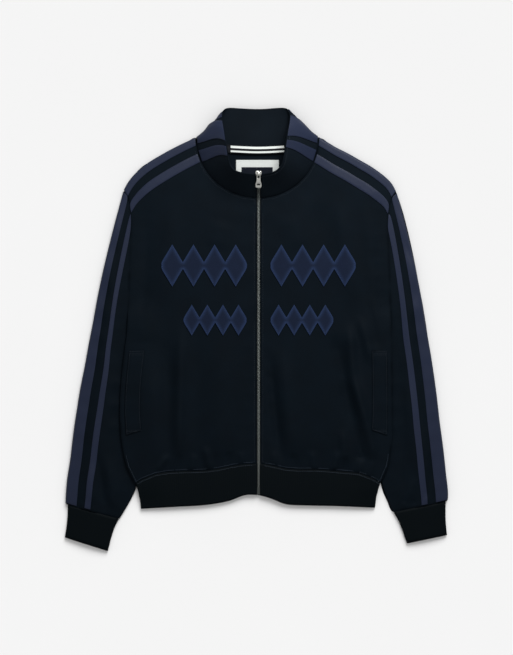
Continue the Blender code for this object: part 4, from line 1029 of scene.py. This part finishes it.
def rounded_outline(corners, radius):
    """A closed outline in mm with its corners rounded."""
    points = []
    corners = np.array(corners, float)
    for before, here, after in zip(np.roll(corners, 1, 0), corners, np.roll(corners, -1, 0)):
        back, ahead = before - here, after - here
        sizes = np.linalg.norm(back), np.linalg.norm(ahead)
        reach = min(radius, 0.45 * min(sizes))
        a, b = here + back / sizes[0] * reach, here + ahead / sizes[1] * reach
        points += [tuple((1 - t) ** 2 * a + 2 * t * (1 - t) * here + t * t * b) for t in np.linspace(0, 1, 5)]
    return points


# Outlines in mm, Y up the zip.
PULL_OUTLINE = ((-2.7, -0.6), (2.7, -0.6), (3.2, -4), (3.6, -16), (5.4, -24), (5.4, -29.5), (3.4, -33.5),
                (-3.4, -33.5), (-5.4, -29.5), (-5.4, -24), (-3.6, -16), (-3.2, -4))
PULL_EYE = ((-2.0, -1.9), (2.0, -1.9), (1.7, -9.9), (-1.7, -9.9))
SLIDER_OUTLINE = ((-4.2, -5.2), (4.2, -5.2), (5.9, 0.6), (5.4, 4.2), (3.2, 5.2), (0.9, 4.3), (-0.9, 4.3),
                  (-3.2, 5.2), (-5.4, 4.2), (-5.9, 0.6))


def joined(*meshes):
    """One mesh from several in the slider's own frame, moved to their place."""
    bm = bmesh.new()
    for mesh in meshes:
        bm.from_mesh(mesh)
    bm.transform(pull_frame())
    return mesh_of(bm)


def arch():
    """The slider's bridge: a bent strap over the pull's eye."""
    width, reach, bar, foot, top = 2.6, 4.2, 1.3, 2.6, 6.5  # mm
    inner = reach - bar
    outline = [(-reach, foot), (-reach, top - 1.4), (-reach + 1.4, top), (reach - 1.4, top),
               (reach, top - 1.4), (reach, foot), (inner, foot), (inner, top - 2.2), (inner - 0.7, top - bar),
               (-inner + 0.7, top - bar), (-inner, top - 2.2), (-inner, foot)]
    mesh = plate(outline, -width / 2, width / 2, 0.00025)
    mesh.transform(Matrix(((0, 0, 1, 0), (1, 0, 0, 0), (0, 1, 0, 0), (0, 0, 0, 1))))
    return mesh


def build_zip():
    """Adds the zip's teeth, slider and pull"""
    zips = settings().zip
    line = zip_line()
    centre = line - np.array([0, 0, zips.thickness / 2 + 0.0001])
    mesh = teeth_tree().along([centre], tooth_shape(), "teeth", Pitch=zips.pitch, Reach=zips.width / 2,
                              Thick=zips.thickness)
    add_piece("zip_teeth", mesh, "teeth", "zip_chain")
    add_piece("zip_band", ribbon(line[::6], 0.0033, 0.0005, 0.0019), "tape")
    outline = rounded_outline(SLIDER_OUTLINE, 1.4)
    slider = joined(plate(outline, 1.6, 3.0, 0.0006), plate(outline, 0.7, 1.5, 0.0003), arch())
    add_piece("zip_slider_metal", slider, "slider", "zip_slider")
    holes = rounded_outline(PULL_EYE, 1.2), oval(-25.0, 2.9, 1.9)
    tab = plate(rounded_outline(PULL_OUTLINE, 2.0), 3.4, 4.7, 0.0004, holes)
    add_piece("zip_pull_metal", joined(tab), "slider", "zip_pull", PULL_BODY)
    box = NODES["zip_box"]  # a plain solid already, so it takes the teeth's metal as it is
    box.data.materials.clear()
    box.data.materials.append(finish("teeth"))


# ---- stage ----
SUN_WAY = (-0.30, -1.0, -0.80)
KEY_PLACE = Vector((0.32, 1.10, 1.00))
CAMERA_PLACE = (0.00005, 0.0037)  # in plan
SENSOR = 36.0  # mm


def add_lamp(light, place, way, lit):
    """Adds a lamp, and gives the new collection that it shines on."""
    lamp = in_scene(light.name, light)
    lamp.location = place
    lamp.rotation_euler = Vector(way).to_track_quat("-Z", "Y").to_euler()
    lamp.light_linking.receiver_collection = bpy.data.collections.new(lit)
    return lamp.light_linking.receiver_collection


def build_stage():
    """Adds the floor, the soft light and the camera"""
    stage, scene = settings().stage, bpy.context.scene
    bm = bmesh.new()
    bmesh.ops.create_grid(bm, x_segments=1, y_segments=1, size=6, matrix=Matrix.Translation((0, 0, FLOOR_Z)))
    floor = in_scene("floor", mesh_of(bm))
    f = Finish("jacket_floor", tuple(stage.floor), 0.9, specular=0.1)
    f.paint(f.shades(f.noise(0.3), 0.99, 1.01))
    floor.data.materials.append(f.material)

    scene.world = bpy.data.worlds.new("studio")
    scene.world.use_nodes = True
    background = scene.world.node_tree.nodes["Background"]
    background.inputs["Color"].default_value = (1, 1, 1, 1)
    background.inputs["Strength"].default_value = stage.sky

    sun = bpy.data.lights.new("sun", "SUN")
    sun.energy, sun.angle = stage.sun, math.radians(38)
    add_lamp(sun, (0, 0, 2), SUN_WAY, "lit_floor").objects.link(floor)
    key = bpy.data.lights.new("key", "AREA")
    key.energy, key.shape, key.size = stage.key, "DISK", 0.7
    add_lamp(key, KEY_PLACE, -KEY_PLACE, "lit_jacket").objects.link(NODES["zip_box"])

    camera = bpy.data.cameras.new("camera")
    camera.lens, camera.sensor_width, camera.sensor_fit, camera.clip_end = stage.lens, SENSOR, "AUTO", 100
    scene.camera = in_scene("camera", camera)
    scene.camera.location = (*CAMERA_PLACE, stage.view_height / 2 * stage.lens / (SENSOR / 2))
    scene.view_settings.view_transform = "Standard"
    scene.view_settings.look = "None"


# ---- add-on ----
def operator(work):
    """An operator that runs one builder, with the builder's name and docstring."""
    def execute(self, context):
        work()
        return {"FINISHED"}
    name = work.__name__.removeprefix("build_")
    return type("JACKET_OT_" + name, (bpy.types.Operator,), {
        "bl_idname": "jacket." + name, "bl_label": name.replace("_", " ").capitalize(),
        "__doc__": work.__doc__, "execute": execute})


OPERATORS = tuple(operator(work) for work in (
    build_stage, build_body, build_sleeves, build_ribs, build_collar, build_stripes, build_neck_trim,
    build_pockets, build_motif, build_zip, build_stitching))


class JACKET_PT_panel(bpy.types.Panel):
    """Steps and settings of the jacket"""

    bl_label = "Track jacket"
    bl_space_type = "VIEW_3D"
    bl_region_type = "UI"
    bl_category = "Jacket"

    def draw(self, context):
        for step in OPERATORS:
            self.layout.operator(step.bl_idname)
        for part in JacketSettings.__annotations__:
            box = self.layout.box()
            values = getattr(context.scene.track_jacket, part)
            for name in values.bl_rna.properties.keys():
                if name not in ("rna_type", "name"):
                    box.prop(values, name)


CLASSES = (ClothSettings, RibSettings, StitchSettings, ZipSettings, StageSettings, JacketSettings, *OPERATORS,
           JACKET_PT_panel)


def register():
    for cls in CLASSES:
        bpy.utils.register_class(cls)
    bpy.types.Scene.track_jacket = bpy.props.PointerProperty(type=JacketSettings)


def unregister():
    del bpy.types.Scene.track_jacket
    for cls in reversed(CLASSES):
        bpy.utils.unregister_class(cls)


def main():
    register()
    for step in OPERATORS:
        getattr(bpy.ops.jacket, step.bl_idname.split(".")[1])()


if __name__ == "__main__":
    main()
